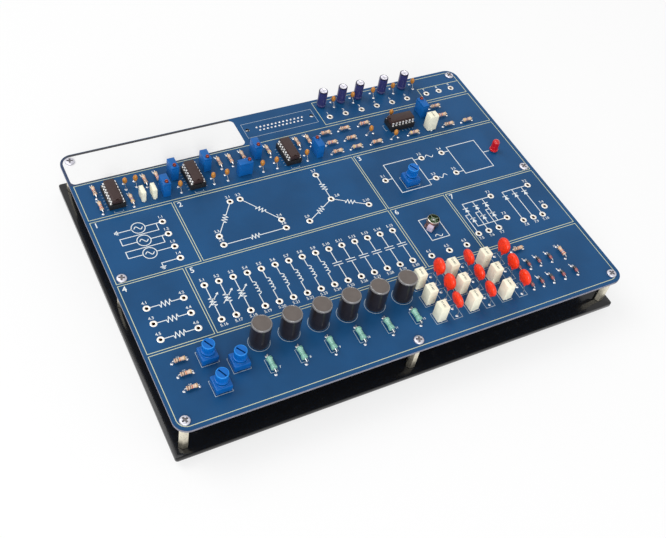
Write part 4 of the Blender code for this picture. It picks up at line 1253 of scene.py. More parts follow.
class TRAINER_OT_resistors(bpy.types.Operator):
    """Make the banded resistors on their bent leads"""

    bl_idname = "trainer.resistors"
    bl_label = "Resistors"

    def execute(self, context):
        bm = painted_mesh()
        for number, bands in enumerate(RESISTOR_BANDS):
            for turn, pitch in RESISTOR_PITCHES.items():
                mesh = pattern(bone, *RESISTOR_BODY, pitch, RESISTOR_LIFT,
                               (0.72, 0.52, 0.38), bands)
                stamp(bm, mesh, [
                    spot(u, v, turn=turn) for u, v, way, code in RESISTORS
                    if (way, code) == (turn, number)
                ])
        on_board("resistors", bm, banded("resistor_lacquer"),
                 tin("lead_tin"))
        return {"FINISHED"}


def glass_diode(bm):
    """A small glass body with a dark band near one end."""
    radius, half, lift = 0.0010, 0.0020, 0.0016
    lathe(
        bm,
        (
            (0.0, -half), (0.7 * radius, -half), (radius, -0.82 * half),
            (radius, -0.10 * half), (radius, 0.55 * half),
            (radius, 0.82 * half), (0.7 * radius, half), (0.0, half),
        ),
        12, (0, 0, 0, 1, 2, 2, 0), lying(lift),
    )
    paint(bm, [(0.30, 0.075, 0.075), BAND_COLOURS["black"],
               (0.020, 0.012, 0.030)])
    staple(bm, DIODE_PITCH, lift, 0.00025)


class TRAINER_OT_diodes(bpy.types.Operator):
    """Make the glass diodes"""

    bl_idname = "trainer.diodes"
    bl_label = "Diodes"

    def execute(self, context):
        bm = painted_mesh()
        stamp(bm, pattern(glass_diode),
              [spot(u, v, turn=90) for u, v in DIODES])
        on_board("diodes", bm, banded("diode_glass"), tin("diode_tin"))
        return {"FINISHED"}


class TRAINER_OT_chokes(bpy.types.Operator):
    """Make the pale green chokes in front of the inductors"""

    bl_idname = "trainer.chokes"
    bl_label = "Chokes"

    def execute(self, context):
        settings = context.scene.trainer_parts
        bm = painted_mesh()
        mesh = pattern(bone, *CHOKE_BODY, CHOKE_PITCH, CHOKE_LIFT,
                       settings.choke, ("teal", "green", "teal", "green"))
        stamp(bm, mesh, [spot(u, v, turn=90) for u, v in CHOKES])
        on_board("chokes", bm, banded("choke_lacquer"), tin("choke_tin"))
        return {"FINISHED"}


def leg(bm, side, top, inset, pitch, knee):
    """A leg that leaves a dipped body and spreads to its pad."""
    foot = side * pitch / 2
    tube(
        bm,
        (
            (side * inset, 0.0, top), (side * inset, 0.0, knee + 0.0012),
            (foot, 0.0, knee - 0.0012), (foot, 0.0, -LEAD_END),
        ),
        LEAD_RADIUS, look=1,
    )


def drop_capacitor(bm):
    """A dipped drop on two legs."""
    lathe(
        bm,
        (
            (0.0, 0.0030), (0.0006, 0.0031), (0.0011, 0.0037),
            (0.0014, 0.0046), (0.0015, 0.0055), (0.0013, 0.0066),
            (0.0008, 0.0074), (0.0, 0.0077),
        ),
        16,
    )
    for side in (-1, 1):
        leg(bm, side, 0.0040, 0.0007, DROP_PITCH, 0.0018)


class TRAINER_OT_drop_capacitors(bpy.types.Operator):
    """Make the ochre drop capacitors"""

    bl_idname = "trainer.drop_capacitors"
    bl_label = "Drop Capacitors"

    def execute(self, context):
        settings = context.scene.trainer_parts
        bm = stamped(pattern(drop_capacitor),
                     [spot(u, v, turn=turn) for u, v, turn in DROPS])
        on_board("drop_capacitors", bm,
                 lacquered("ochre_lacquer", settings.drop), tin("drop_tin"),
                 smooth=60.0)
        return {"FINISHED"}


def disc_capacitor(bm, lean):
    """A thick dipped disc, leaning, with lacquer run down its legs."""
    middle, inset = 0.0130, 0.0016
    lathe(
        bm,
        (
            (0.0, -0.0018), (0.0024, -0.00174), (0.0038, -0.0015),
            (0.0046, -0.0010), (0.0050, 0.0), (0.0046, 0.0010),
            (0.0038, 0.0015), (0.0024, 0.00174), (0.0, 0.0018),
        ),
        28, place=Matrix.Translation((0, 0, middle))
        @ Matrix.Rotation(math.pi / 2, 4, "X"),
    )
    for side in (-1, 1):
        lathe(
            bm, ((0.0, 0.0066), (0.0005, 0.0067), (0.0008, 0.0076),
                 (0.0014, 0.0088), (0.0, 0.0096)),
            12, place=Matrix.Translation((side * inset, 0, 0)),
        )
        leg(bm, side, 0.0080, inset, DISC_PITCH, 0.0048)
    straight = 0.0036
    for vert in bm.verts:
        vert.co.y += lean * max(0.0, vert.co.z - straight)


class TRAINER_OT_disc_capacitors(bpy.types.Operator):
    """Make the red-orange disc capacitors"""

    bl_idname = "trainer.disc_capacitors"
    bl_label = "Disc Capacitors"

    def execute(self, context):
        settings = context.scene.trainer_parts
        bm = bmesh.new()
        for place, lean in zip(DISCS, DISC_LEANS):
            stamp(bm, pattern(disc_capacitor, lean), [spot(*place, turn=90)])
        on_board("disc_capacitors", bm,
                 lacquered("disc_lacquer", settings.disc, 0.3, 0.0002),
                 tin("disc_tin"), smooth=60.0)
        return {"FINISHED"}


def film_box(bm, size):
    """A moulded box on two ridges, with a pin through each."""
    long, deep, high = size
    block(bm, (long, deep, high - 0.0004), (0, 0, high / 2 + 0.0002),
          0.00028)
    ridge = (0.8 * long, 0.0006, 0.0008)
    for side in (-1, 1):
        block(bm, ridge, (0, side * 0.34 * deep, ridge[2] / 2))
        pin(bm, 0, side * 0.38 * deep, 0.0006, LEAD_END, sides=8)


class TRAINER_OT_film_capacitors(bpy.types.Operator):
    """Make the cream film capacitors, with plain numbers on top"""

    bl_idname = "trainer.film_capacitors"
    bl_label = "Film Capacitors"

    def execute(self, context):
        settings = context.scene.trainer_parts
        kinds = (
            (FILM_SIZE, FILMS), (SMALL_FILM_SIZE, SMALL_FILMS),
            (LARGE_FILM_SIZE, [LARGE_FILM]),
        )
        boxes, marks = bmesh.new(), bmesh.new()
        for size, places in kinds:
            stamp(boxes, pattern(film_box, size),
                  [spot(u, v) for u, v in places])
            if size is not SMALL_FILM_SIZE:
                lettering(marks, [
                    ("104 63", spot(u, v, size[2], 90)) for u, v in places
                ], 0.0017, 0.00002)
        on_board("film_capacitors", boxes,
                 moulded("cream_moulding", settings.film, 0.42),
                 tin("film_tin"))
        on_board("film_numbers", marks,
                 ink("mark_ink", (0.05, 0.045, 0.04)))
        return {"FINISHED"}


def inductor(bm):
    """A shrink sleeve rolled over the rim of a ferrite core."""
    sleeve = (
        (0.0, 0.0), (0.0051, 0.0), (0.0056, 0.0003), (0.0058, 0.0010),
        (0.00573, 0.0040), (0.0058, 0.0090), (0.00575, 0.0140),
        (0.0058, 0.0164),
    )
    rim = ((0.00575, 0.0169), (0.0056, 0.0173), (0.0054, 0.0175),
           (0.0052, 0.0176), (0.0051, 0.0175), (0.0050, 0.0173))
    # The rolled rim takes the third look, a paler grey that is a painted
    # highlight; the flat top shows the core
    looks = [0] * 7 + [2] * 6 + [1]
    lathe(bm, sleeve + rim + ((0.0, 0.0173),), 48, looks)


class TRAINER_OT_inductors(bpy.types.Operator):
    """Make the six sleeved inductors"""

    bl_idname = "trainer.inductors"
    bl_label = "Inductors"

    def execute(self, context):
        settings = context.scene.trainer_parts
        names = numbered("inductor", 6)
        bm = stamped(pattern(inductor), [at_node(name) for name in names])
        new_piece("inductors", bm,
                  [moulded("shrink_sleeve", settings.sleeve, 0.3, 0.000003,
                           0.4),
                   moulded("ferrite", settings.core, 0.5, 0.00002),
                   # The rim's pale grey on the black sleeve is a painted
                   # highlight
                   moulded("sleeve_rim_painted_highlight", (0.17, 0.165, 0.17), 0.14, 0.000002,
                           1.0)],
                  "inductor_black", *names)
        return {"FINISHED"}


def pin_places():
    """Board places of the connector's pins."""
    return [
        spot(*SOCKET_CENTRE) @ Matrix.Translation((
            (number - (count - 1) / 2) * CONTACT_PITCH,
            row * CONTACT_ROW, 0,
        ))
        for row, count in ((1, 13), (-1, 12)) for number in range(count)
    ]


def lead_places():
    """Board places of the parts' leads."""
    spans = [(spot(u, v, turn=turn), RESISTOR_PITCHES[turn])
             for u, v, turn, _ in RESISTORS]
    spans += [(spot(u, v, turn=turn), DROP_PITCH) for u, v, turn in DROPS]
    for places, pitch in (
        (DIODES, DIODE_PITCH), (CHOKES, CHOKE_PITCH), (DISCS, DISC_PITCH),
        (FILMS + [LARGE_FILM], FILM_PITCH), (SMALL_FILMS, SMALL_FILM_PITCH),
    ):
        spans += [(spot(u, v, turn=90), pitch) for u, v in places]
    return [
        place @ Matrix.Translation((side * pitch / 2, 0, 0))
        for place, pitch in spans for side in (-1, 1)
    ]


def solder_joint(bm, radius):
    """Fillets of solder above and below the board."""
    low = -BOARD_THICKNESS
    lathe(
        bm,
        (
            (0.0, 0.0006), (0.0004, 0.0005), (0.0005, 0.00025),
            (radius, 0.00004), (radius, low - 0.00004),
            (0.00055, low - 0.0003), (0.0004, low - 0.0011),
            (0.0, low - 0.0012),
        ),
        8,
    )


class TRAINER_OT_solder(bpy.types.Operator):
    """Make the solder joints of all the leads"""

    bl_idname = "trainer.solder"
    bl_label = "Solder"

    def execute(self, context):
        bm = stamped(pattern(solder_joint, 0.00090), lead_places())
        stamp(bm, pattern(solder_joint, 0.00078), pin_places())
        on_board("solder_joints", bm,
                 metal("solder", (0.74, 0.74, 0.75), 0.32), smooth=50.0)
        return {"FINISHED"}


def leg_line():
    """Places of a chip's legs along it."""
    middle = (CHIP_LEGS - 1) / 2
    return [(n - middle) * CHIP_PITCH for n in range(CHIP_LEGS)]


def chip_socket(bm):
    """Two rails of contacts, held apart by bars."""
    high, edge, gap = SOCKET_HEIGHT + SEAT, 0.0002, 0.0044
    rail, rail_line = (0.0179, 0.0030, high - 0.0004), 0.0036
    contact, contact_line = (0.0015, 0.0012, 0.0002), 0.00381
    end_bar, end_line = (0.0034, gap, high - 0.0010), 0.00725
    middle_bar = (0.0012, gap, high - 0.0016)
    for side in (-1, 1):
        block(bm, rail, (0, side * rail_line, high / 2 + edge), edge)
        block(bm, end_bar, (side * end_line, 0, high / 2), edge)
        for x in leg_line():
            block(bm, contact, (x, side * contact_line, high), look=1)
            pin(bm, x, side * contact_line, 0.0004)
    block(bm, middle_bar, (0, 0, high / 2), edge)


class TRAINER_OT_sockets(bpy.types.Operator):
    """Make the sockets of the integrated circuits"""

    bl_idname = "trainer.sockets"
    bl_label = "Chip Sockets"

    def execute(self, context):
        bm = stamped(pattern(chip_socket),
                     [spot(u, v, turn=turn) for u, v, turn in CHIPS])
        new_piece("chip_sockets", bm,
                  [moulded("socket_moulding", (0.014, 0.014, 0.015), 0.45),
                   metal("socket_contacts", (0.95, 0.94, 0.92), 0.5)],
                  "socket_black", *numbered("ic_socket", 4))
        return {"FINISHED"}


def tapered(bm, size, centre, share):
    """A block whose end furthest from the middle plane is smaller."""
    verts = cube(bm, size, centre)
    top = [v for v in verts if v.co.z > centre[2]]
    bmesh.ops.scale(
        bm, vec=(share, share, 1.0), verts=top,
        space=Matrix.Translation((-centre[0], -centre[1], 0)),
    )
    return verts


def chip_body(bm):
    """A moulded body that narrows above and below its leg line."""
    size, line, taper = (0.0181, 0.0066), 0.0016, 0.955
    middle = (CHIP_TOP + line) / 2
    upper = tapered(bm, (*size, CHIP_TOP - line), (0, 0, middle), taper)
    above = [e for e in edges_of(upper)
             if max(v.co.z for v in e.verts) > middle]
    rounded(bm, above, 0.0002, 2)
    lower = bmesh.new()
    tapered(lower, (*size, line), (0, 0, line / 2), taper)
    stamp(bm, as_mesh(lower, "chip_base"), [
        Matrix.Translation((0, 0, line)) @ Matrix.Rotation(math.pi, 4, "X")
    ])


def chip_marks(bm):
    """The end notch and the dimple of the first leg."""
    for x, y, radius, depth in (
        (-0.0089, 0.0, 0.0010, 0.0008), (-0.0076, -0.0020, 0.0005, 0.0002),
    ):
        drum(bm, radius, 2 * depth, Matrix.Translation((x, y, CHIP_TOP)))


def chip_legs(bm):
    """Fourteen bent legs."""
    for side in (-1, 1):
        for x in leg_line():
            for size, y, z in (
                ((0.0013, 0.0009, 0.0003), 0.00352, 0.0017),
                ((0.0013, 0.0003, 0.0014), 0.00390, 0.0011),
                ((0.0005, 0.0003, 0.0020), 0.00390, -0.0006),
            ):
                block(bm, size, (x, side * y, z), 0.0001, segments=1)


class TRAINER_OT_chips(bpy.types.Operator):
    """Make the integrated circuits"""

    bl_idname = "trainer.chips"
    bl_label = "Chips"

    def execute(self, context):
        settings = context.scene.trainer_parts
        places = [spot(u, v, SOCKET_HEIGHT + 2 * SEAT, turn)
                  for u, v, turn in CHIPS]
        bodies = stamped(carved(pattern(chip_body), pattern(chip_marks)),
                         places)
        legs = stamped(pattern(chip_legs), places)
        names = numbered("ic_chip", 4)
        new_piece("chip_bodies", bodies,
                  [moulded("chip_epoxy", settings.chip, 0.42, 0.00002)],
                  "chip_black", *names)
        new_piece("chip_legs", legs,
                  [metal("leg_tin", (0.95, 0.95, 0.94), 0.5)],
                  "chip_black", *names)
        return {"FINISHED"}


def trimmer_body(bm):
    """A tall body with a lid seam, a screw boss, ridges and pins."""
    long, deep, edge, seam = 0.0092, 0.0048, 0.0002, 0.0003
    block(bm, (long, deep, 0.0088), (0, 0, 0.0048), edge)
    block(bm, (long - seam, deep - seam, 0.0006), (0, 0, 0.0093))
    block(bm, (long, deep, 0.0012), (0, 0, 0.0100), edge)
    boss, bore, boss_top = 0.0017, 0.00125, 0.0110
    lathe(bm, ((0.0, 0.0104), (boss, 0.0104), (boss, 0.0109),
               (0.00155, boss_top), (bore, boss_top),
               (bore, TRIMMER_BORE_FLOOR), (0.0, TRIMMER_BORE_FLOOR)),
          24, place=Matrix.Translation((0.0027, 0, 0)))
    ridge = (0.0012, 0.0044, 0.0008)
    for side in (-1, 1):
        block(bm, ridge, (side * 0.0039, 0, ridge[2] / 2))
    for x in (-0.0025, 0.0, 0.0025):
        pin(bm, x, 0, 0.0006)


def trimmer_screw(bm):
    """A short brass cylinder with a chamfered rim."""
    foot, radius = -0.0010, 0.0011
    lathe(bm, ((0.0, foot), (radius, foot), (radius, 0.0012),
               (0.0010, TRIMMER_SCREW_TOP), (0.0, TRIMMER_SCREW_TOP)), 24)


def slot_tool(bm, wide, deep, top, long=0.02, look=0):
    """What cuts a screwdriver slot."""
    block(bm, (long, wide, 2 * deep), (0, 0, top), look=look)


class TRAINER_OT_trimmers(bpy.types.Operator):
    """Make the multi-turn trimmers and their screws"""

    bl_idname = "trainer.trimmers"
    bl_label = "Trimmers"

    def execute(self, context):
        settings = context.scene.trainer_parts
        names = numbered("trimmer_body", 7)
        places = [above_node(name, BOARD_TOP, turn)
                  for name, turn in zip(names, TRIMMER_TURNS)]
        new_piece("trimmer_bodies", stamped(pattern(trimmer_body), places),
                  [moulded("trimmer_moulding", settings.trimmer, 0.34),
                   tin("trimmer_pins")],
                  "trimmer_blue", *names)
        brass = metal("trimmer_brass", (0.42, 0.10, 0.07), 0.32)
        head = carved(pattern(trimmer_screw),
                      pattern(slot_tool, 0.0005, 0.0006, TRIMMER_SCREW_TOP))
        for number, name in enumerate(numbered("trimmer_screw", 7), 1):
            place = above_node(name, BOARD_TOP + TRIMMER_BORE_FLOOR)
            new_piece("trimmer_adjuster_%d" % number,
                      stamped(head, [place]), [brass],
                      "trimmer_screw_red", name,
                      body="trimmer_%d_screw" % number)
        return {"FINISHED"}


def pot_body(bm):
    """A square body with a round collar and three pins."""
    wide, foot, foot_line = 0.0095, (0.0016, 0.0016, 0.0010), 0.0036
    block(bm, (wide, wide, 0.0046), (0, 0, 0.0029), 0.0005, segments=3)
    for x, y in ((-1, -1), (-1, 1), (1, -1), (1, 1)):
        block(bm, foot, (x * foot_line, y * foot_line, foot[2] / 2))
    collar, bore, top, floor = 0.0042, 0.0019, 0.0060, 0.0052
    lathe(bm, ((0.0, 0.0048), (collar, 0.0048), (collar, 0.0058),
               (0.0040, top), (bore, top), (bore, floor), (0.0, floor)), 40)
    for x, y in ((-0.0025, -0.0025), (0.0, 0.0025), (0.0025, -0.0025)):
        pin(bm, x, y, 0.0008, radius=0.00035)


def pot_knob(bm):
    """A ribbed knob on a skirt, with a raised rim on its top."""
    skirt, grip, head, dish = 0.0038, 0.0035, 0.0036, 0.0060
    made = lathe(
        bm,
        (
            (0.0, 0.0), (0.0037, 0.0), (skirt, 0.0001), (skirt, 0.0007),
            (grip, 0.0009), (grip, 0.0050), (head, 0.0052),
            (head, 0.0059), (0.0034, KNOB_HEIGHT), (0.0031, KNOB_HEIGHT),
            (0.0030, dish), (0.0, dish),
        ),
        # The raised rim takes the second look, a lighter blue that is a painted
        # highlight
        48, (0, 0, 0, 0, 0, 0, 0, 1, 1, 0, 0),
    )
    ribs, groove = 24, 0.93
    for vert in made:
        angle = math.atan2(vert.co.y, vert.co.x)
        if round(angle / math.pi * ribs) % 2 and 0.0008 < vert.co.z < 0.0051:
            vert.co.xy *= groove


class TRAINER_OT_pots(bpy.types.Operator):
    """Make the square potentiometers and their slotted knobs"""

    bl_idname = "trainer.pots"
    bl_label = "Potentiometers"

    def execute(self, context):
        settings = context.scene.trainer_parts
        names = numbered("pot_body", 4)
        bm = stamped(pattern(pot_body),
                     [above_node(name, BOARD_TOP) for name in names])
        # The body is a darker copy of the pots' blue, painted shade
        look = moulded("pot_moulding_painted_shade", shaded(settings.pot, 0.74), 0.34)
        new_piece("pot_bodies", bm, [look, tin("pot_pins")], "pot_blue",
                  *names)
        looks = [moulded("knob_moulding", shaded(settings.pot, 0.92), 0.3),
                 # Lighter blue on the rim is a painted highlight
                 moulded("knob_rim", (0.020, 0.245, 0.72), 0.3),
                 # Darker blue in the slot is painted shade
                 moulded("knob_slot", (0.002, 0.070, 0.270), 0.4)]
        # The slot's faces take the third look, painted shade
        slot = pattern(slot_tool, 0.0009, 0.0014, KNOB_HEIGHT, 0.0056, 2)
        knob = carved(pattern(pot_knob), slot, 3)
        for number, (name, turn) in enumerate(
            zip(numbered("pot_knob", 4), KNOB_TURNS), 1
        ):
            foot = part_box(name)[1][2] - KNOB_HEIGHT
            new_piece("pot_cap_%d" % number,
                      stamped(knob, [above_node(name, foot, turn)]), looks,
                      "knob_blue", name, body="knob_%d" % number)
        return {"FINISHED"}


def electrolytic(bm):
    """A sleeved can with a crimp groove, a stripe, and dark strips of painted
    shade where its top is scored.
    """
    radius, groove, lid = 0.0031, 0.0027, 0.0128
    lathe(
        bm,
        (
            (0.0, 0.0), (0.0026, 0.0), (0.0028, 0.0001), (0.0030, 0.0004),
            (radius, 0.0009), (radius, 0.0014), (groove, 0.0018),
            (radius, 0.0023), (radius, 0.0124), (0.0030, 0.0129),
            (0.0027, 0.0131), (0.0024, 0.01305), (0.0022, lid),
            (0.0, lid),
        ),
        36, (0, 0, 0, 0, 0, 0, 0, 0, 4, 4, 4, 1, 1),
    )
    stripe_angle, stripe_half = -35, 19
    for face in bm.faces:
        middle = face.calc_center_median()
        angle = math.degrees(math.atan2(middle.y, middle.x))
        if (abs(angle - stripe_angle) < stripe_half
                and 0.0022 < middle.z < 0.0127
                and middle.xy.length > radius - 0.0001):
            face.material_index = 2
    # Thin dark strips on the top are painted shade that stands for the score
    # lines
    score = (0.0038, 0.00012, 0.00010)
    for angle in (0, 90):
        block(bm, score, (0, 0, lid + 0.00002), look=3, turn=turned(angle))
    for side in (-1, 1):
        pin(bm, side * 0.00125, 0, 0.0004)


class TRAINER_OT_electrolytics(bpy.types.Operator):
    """Make the five electrolytic capacitors at the rear"""

    bl_idname = "trainer.electrolytics"
    bl_label = "Electrolytic Capacitors"

    def execute(self, context):
        settings = context.scene.trainer_parts
        names = numbered("electrolytic", 5)
        bm = stamped(pattern(electrolytic),
                     [at_node(name) for name in names])
        new_piece("electrolytics", bm,
                  [moulded("can_sleeve", settings.can, 0.28, coat=0.4),
                   metal("can_top", (0.90, 0.88, 0.96), 0.42),
                   moulded("can_stripe", (0.40, 0.41, 0.50), 0.34),
                   metal("can_score_painted_shade", (0.25, 0.25, 0.26), 0.5),
                   moulded("can_rim", (0.012, 0.010, 0.040), 0.3)],
                  "can_violet", *names)
        return {"FINISHED"}


def lamp_lens(bm):
    """A domed lens on its flange."""
    radius, flange, shoulder, steps = 0.0025, 0.0029, 0.0061, 6
    angles = (n * math.pi / 2 / steps for n in range(steps + 1))
    dome = [(radius * math.cos(a), shoulder + radius * math.sin(a))
            for a in angles]
    lathe(
        bm,
        [(0.0, 0.0), (flange, 0.0), (flange, 0.0009), (0.0028, 0.0010),
         (radius, 0.0011)] + dome, 32,
    )


def lamp_leads(bm):
    """The lamp's two leads."""
    aside, top, radius = 0.00127, 0.0002, 0.00028
    for side in (-1, 1):
        pin(bm, side * aside, 0, top, LAMP_LIFT + PIN_END, radius, 8, 0)


class TRAINER_OT_lamp(bpy.types.Operator):
    """Make the red indicator lamp"""

    bl_idname = "trainer.lamp"
    bl_label = "Lamp"

    def execute(self, context):
        settings = context.scene.trainer_parts
        place = above_node("status_led", BOARD_TOP + LAMP_LIFT)
        new_piece("lamp_lens", stamped(pattern(lamp_lens), [place]),
                  [moulded("red_lens", settings.lamp, 0.14, 0.000003, 0.5)],
                  "led_red", "status_led", smooth=60.0)
        new_piece("lamp_leads", stamped(pattern(lamp_leads), [place]),
                  [tin("lamp_tin")], "led_red", "status_led")
        return {"FINISHED"}


def motor_coils(bm):
    """Nine wound teeth with green caps round a steel post."""
    teeth = 9
    for radius, foot, top, sides, look in (
        (0.0007, 0.0034, 0.0044, 16, 2), (0.0017, 0.0008, 0.0037, 24, 1),
    ):
        lathe(bm, ((0.0, foot), (radius, foot), (radius, top), (0.0, top)),
              sides, (look,) * 3)
    for number in range(teeth):
        turn = turned(360 / teeth * number)
        for size, x, z, look in (
            ((0.0015, 0.0013, 0.0026), 0.0022, 0.0023, 0),
            ((0.0006, 0.0017, 0.0028), 0.0027, 0.0022, 2),
            ((0.0013, 0.0011, 0.0002), 0.0022, 0.0037, 1),
        ):
            block(bm, size, turn @ Vector((x, 0, z)), look=look, turn=turn)


def motor_base(bm):
    """A rounded plate with a tall block at its end."""
    block(bm, (0.0089, 0.0066, 0.0008), (-0.00115, 0, 0.0004), 0.0012,
          upright=True, segments=5)
    block(bm, (0.0026, 0.0036, 0.0038), (-0.0056, -0.0013, 0.0021), 0.0002,
          look=1)


def motor_bell(bm):
    """An open ring, held to its hub by four spokes below the rim."""
    radius, inner = 0.0040, 0.0035
    lathe(
        bm,
        (
            (inner, 0.0), (0.0039, 0.0), (radius, 0.0002),
            (radius, 0.0036), (0.00385, 0.0040), (0.0037, 0.0041),
            (inner, 0.0038), (inner, 0.0),
        ),
        48, (0, 0, 0, 1, 1, 2, 2),
    )
    bore, hub, foot = 0.0010, 0.0015, 0.0029
    lathe(bm, ((bore, foot), (hub, foot), (hub, 0.0035), (bore, 0.0036),
               (bore, foot)), 24, (3, 3, 3, 3))
    spoke, middle = (0.0022, 0.0006, 0.0004), Vector((0.0025, 0, 0.0033))
    for angle in (0, 90, 180, 270):
        turn = turned(angle)
        block(bm, spoke, turn @ middle, look=3, turn=turn)


class TRAINER_OT_motor(bpy.types.Operator):
    """Make the miniature three-phase motor"""

    bl_idname = "trainer.motor"
    bl_label = "Motor"

    def execute(self, context):
        place = above_node("motor_rotor", BOARD_TOP + SEAT)
        new_piece("motor_coils", stamped(pattern(motor_coils), [place]),
                  [metal("copper_windings", (0.42, 0.24, 0.13), 0.35,
                         (0.2, 0.2, 9.0)),
                   moulded("motor_insulation", (0.045, 0.115, 0.035), 0.4),
                   metal("motor_steel", (0.60, 0.60, 0.60), 0.3)],
                  "motor_copper", "motor_stator")
        new_piece("motor_base",
                  stamped(pattern(motor_base),
                          [place @ turned(MOTOR_TURN)]),
                  [metal("motor_plate", (0.16, 0.13, 0.16), 0.4),
                   moulded("motor_block", (0.60, 0.50, 0.62), 0.4)],
                  "motor_copper", "motor_stator")
        bell = stamped(pattern(motor_bell), [at_node("motor_rotor")])
        # The hub and spokes are a dark green-grey, painted shade inside the
        # bell
        new_piece("motor_bell", bell,
                  [metal("bell_copper", (0.66, 0.40, 0.30), 0.3,
                         (9.0, 9.0, 0.2)),
                   metal("bell_rim", (0.88, 0.80, 0.68), 0.25),
                   metal("bell_inside", (0.10, 0.12, 0.07), 0.4),
                   metal("bell_spokes_painted_shade", (0.24, 0.30, 0.22), 0.35)],
                  "motor_bell_silver", "motor_rotor", body="rotor")
        return {"FINISHED"}


class TRAINER_OT_connector(bpy.types.Operator):
    """Finish the socket under the rear edge"""

    bl_idname = "trainer.connector"
    bl_label = "Connector"

    def execute(self, context):
        looks = {
            "connector_shell": metal("tin_shell", (0.70, 0.69, 0.64), 0.3),
            "connector_insulator": moulded(
                "insulator", (0.012, 0.012, 0.013), 0.4
            ),
        }
        for name, look in looks.items():
            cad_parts[name].material_slots[0].material = look
        return {"FINISHED"}


class TRAINER_OT_base_plate(bpy.types.Operator):
    """Make the black acrylic plate with its polished edges"""

    bl_idname = "trainer.base_plate"
    bl_label = "Base Plate"

    def execute(self, context):
        settings = context.scene.trainer_base
        low, high = (Vector(corner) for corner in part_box("base_plate"))
        size, centre = high - low, (high + low) / 2
        slab, tools = bmesh.new(), bmesh.new()
        block(slab, size, centre, 0.0015, upright=True, segments=4)
        flat = [e for e in slab.edges if rise(e) < 0.0001]
        rounded(slab, flat, 0.0003, 2)
        sink, hole = 0.0031, 0.0018
        for where in STANDOFFS:
            place = above_node("standoff_" + where, low.z)
            lathe(
                tools,
                ((0.0, -0.001), (sink, -0.001), (sink, 0.0),
                 (hole, 0.00145), (hole, 0.005), (0.0, 0.005)),
                24, place=place,
            )
        middle = above_node("connector_shell", centre.z).translation
        block(tools, (*PLUG_WINDOW, 0.01), middle, 0.0015, upright=True,
              segments=4)
        for bm in (slab, tools):
            bmesh.ops.recalc_face_normals(bm, faces=bm.faces)
        plate = carved(as_mesh(slab, "plate"), as_mesh(tools, "cuts"))
        new_piece("acrylic_plate", stamped(plate, [Matrix()]),
                  [moulded("black_acrylic", settings.acrylic, 0.16,
                           0.000002, 0.12)],
                  "black_acrylic", "base_plate")
        return {"FINISHED"}


def rubber_foot(bm):
    """A tapered foot with a rounded rim and a hollow sole."""
    radius, high, hollow = 0.0062, 0.0041, 0.0007
    lathe(
        bm,
        (
            (0.0, hollow), (0.0026, hollow), (0.0030, 0.0), (0.0048, 0.0),
            (0.0052, 0.0003), (0.0060, 0.0022), (radius, 0.0030),
            (radius, high), (0.0, high),
        ),
        36,
    )


class TRAINER_OT_feet(bpy.types.Operator):
    """Make the rubber feet"""

    bl_idname = "trainer.feet"
    bl_label = "Feet"

    def execute(self, context):
        settings = context.scene.trainer_base
        names = ["foot_" + where for where in FEET]
        bm = stamped(pattern(rubber_foot), [at_node(name) for name in names])
        new_piece("rubber_feet", bm,
                  [moulded("foot_rubber", settings.rubber, 0.7, 0.00004)],
                  "rubber", *names)
        return {"FINISHED"}


def standoff(bm):
    """A turned hexagon with broken corners at both ends."""
    across_flats, high, chamfer = 0.0050, 0.0226, 0.0003
    radius = across_flats / 2 / math.cos(math.pi / 6)
    lathe(
        bm,
        (
            (0.0, 0.0), (radius - chamfer, 0.0), (radius, chamfer),
            (radius, high - chamfer), (radius - chamfer, high), (0.0, high),
        ),
        6,
    )


def plate_screw(bm):
    """A countersunk head, level with the underside of the plate."""
    head, shank, long = 0.0028, 0.0015, 0.0034
    lathe(bm, ((0.0, 0.0), (head, 0.0), (shank, 0.0013), (shank, long),
               (0.0, long)), 24)


def cross_tool(bm, reach, wide, deep, level, look=0):
    """What cuts a cross recess."""
    for angle in (0, 90):
        block(bm, (2 * reach, wide, 2 * deep), (0, 0, level), look=look,
              turn=turned(angle))


class TRAINER_OT_standoffs(bpy.types.Operator):
    """Make the brass standoffs and the screws below them"""

    bl_idname = "trainer.standoffs"
    bl_label = "Standoffs"

    def execute(self, context):
        settings = context.scene.trainer_base
        names = ["standoff_" + where for where in STANDOFFS]
        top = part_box("base_plate")[1][2] + 0.0001
        posts = stamped(pattern(standoff),
                        [above_node(name, top) for name in names])
        screw = carved(pattern(plate_screw),
                       pattern(cross_tool, 0.0014, 0.0005, 0.0008, 0.0))
        screws = stamped(screw, [at_node(name) for name in names])
        new_piece("standoff_posts", posts,
                  [metal("nickel_brass", settings.brass, 0.26,
                         (1.0, 1.0, 0.15))],
                  "pale_brass", *names)
        new_piece("plate_screws", screws,
                  [metal("zinc_below", (0.60, 0.60, 0.62), 0.3)],
                  "pale_brass", *names)
        return {"FINISHED"}


def pan_head(bm):
    """A low pan head."""
    radius, seat = 0.0030, 0.00002
    lathe(
        bm,
        (
            (0.0, seat), (0.0029, seat), (radius, 0.0002),
            (radius, 0.0007), (0.0029, 0.0010), (0.0025, 0.0013),
            (0.0017, 0.0015), (0.0, 0.00154),
        ),
        32,
    )


class TRAINER_OT_board_screws(bpy.types.Operator):
    """Make the cross-recess screws that hold the board"""

    bl_idname = "trainer.board_screws"
    bl_label = "Board Screws"

    def execute(self, context):
        # The cross recess takes the second look, a dull grey that is painted
        # shade
        head = carved(pattern(pan_head),
                      pattern(cross_tool, 0.0019, 0.0012, 0.0009, 0.0016, 1),
                      2)
        # No two screws stop at the same angle
        first, apart = 20, 47
        places = [
            above_node("standoff_" + where, BOARD_TOP, first + apart * number)
            for number, where in enumerate(STANDOFFS)
        ]
        new_piece("board_screws", stamped(head, places),
                  [metal("zinc_plating", (0.64, 0.63, 0.69), 0.42),
                   moulded("screw_recess_painted_shade", (0.21, 0.20, 0.215), 0.6)],
                  "pale_brass", "circuit_board")
        return {"FINISHED"}


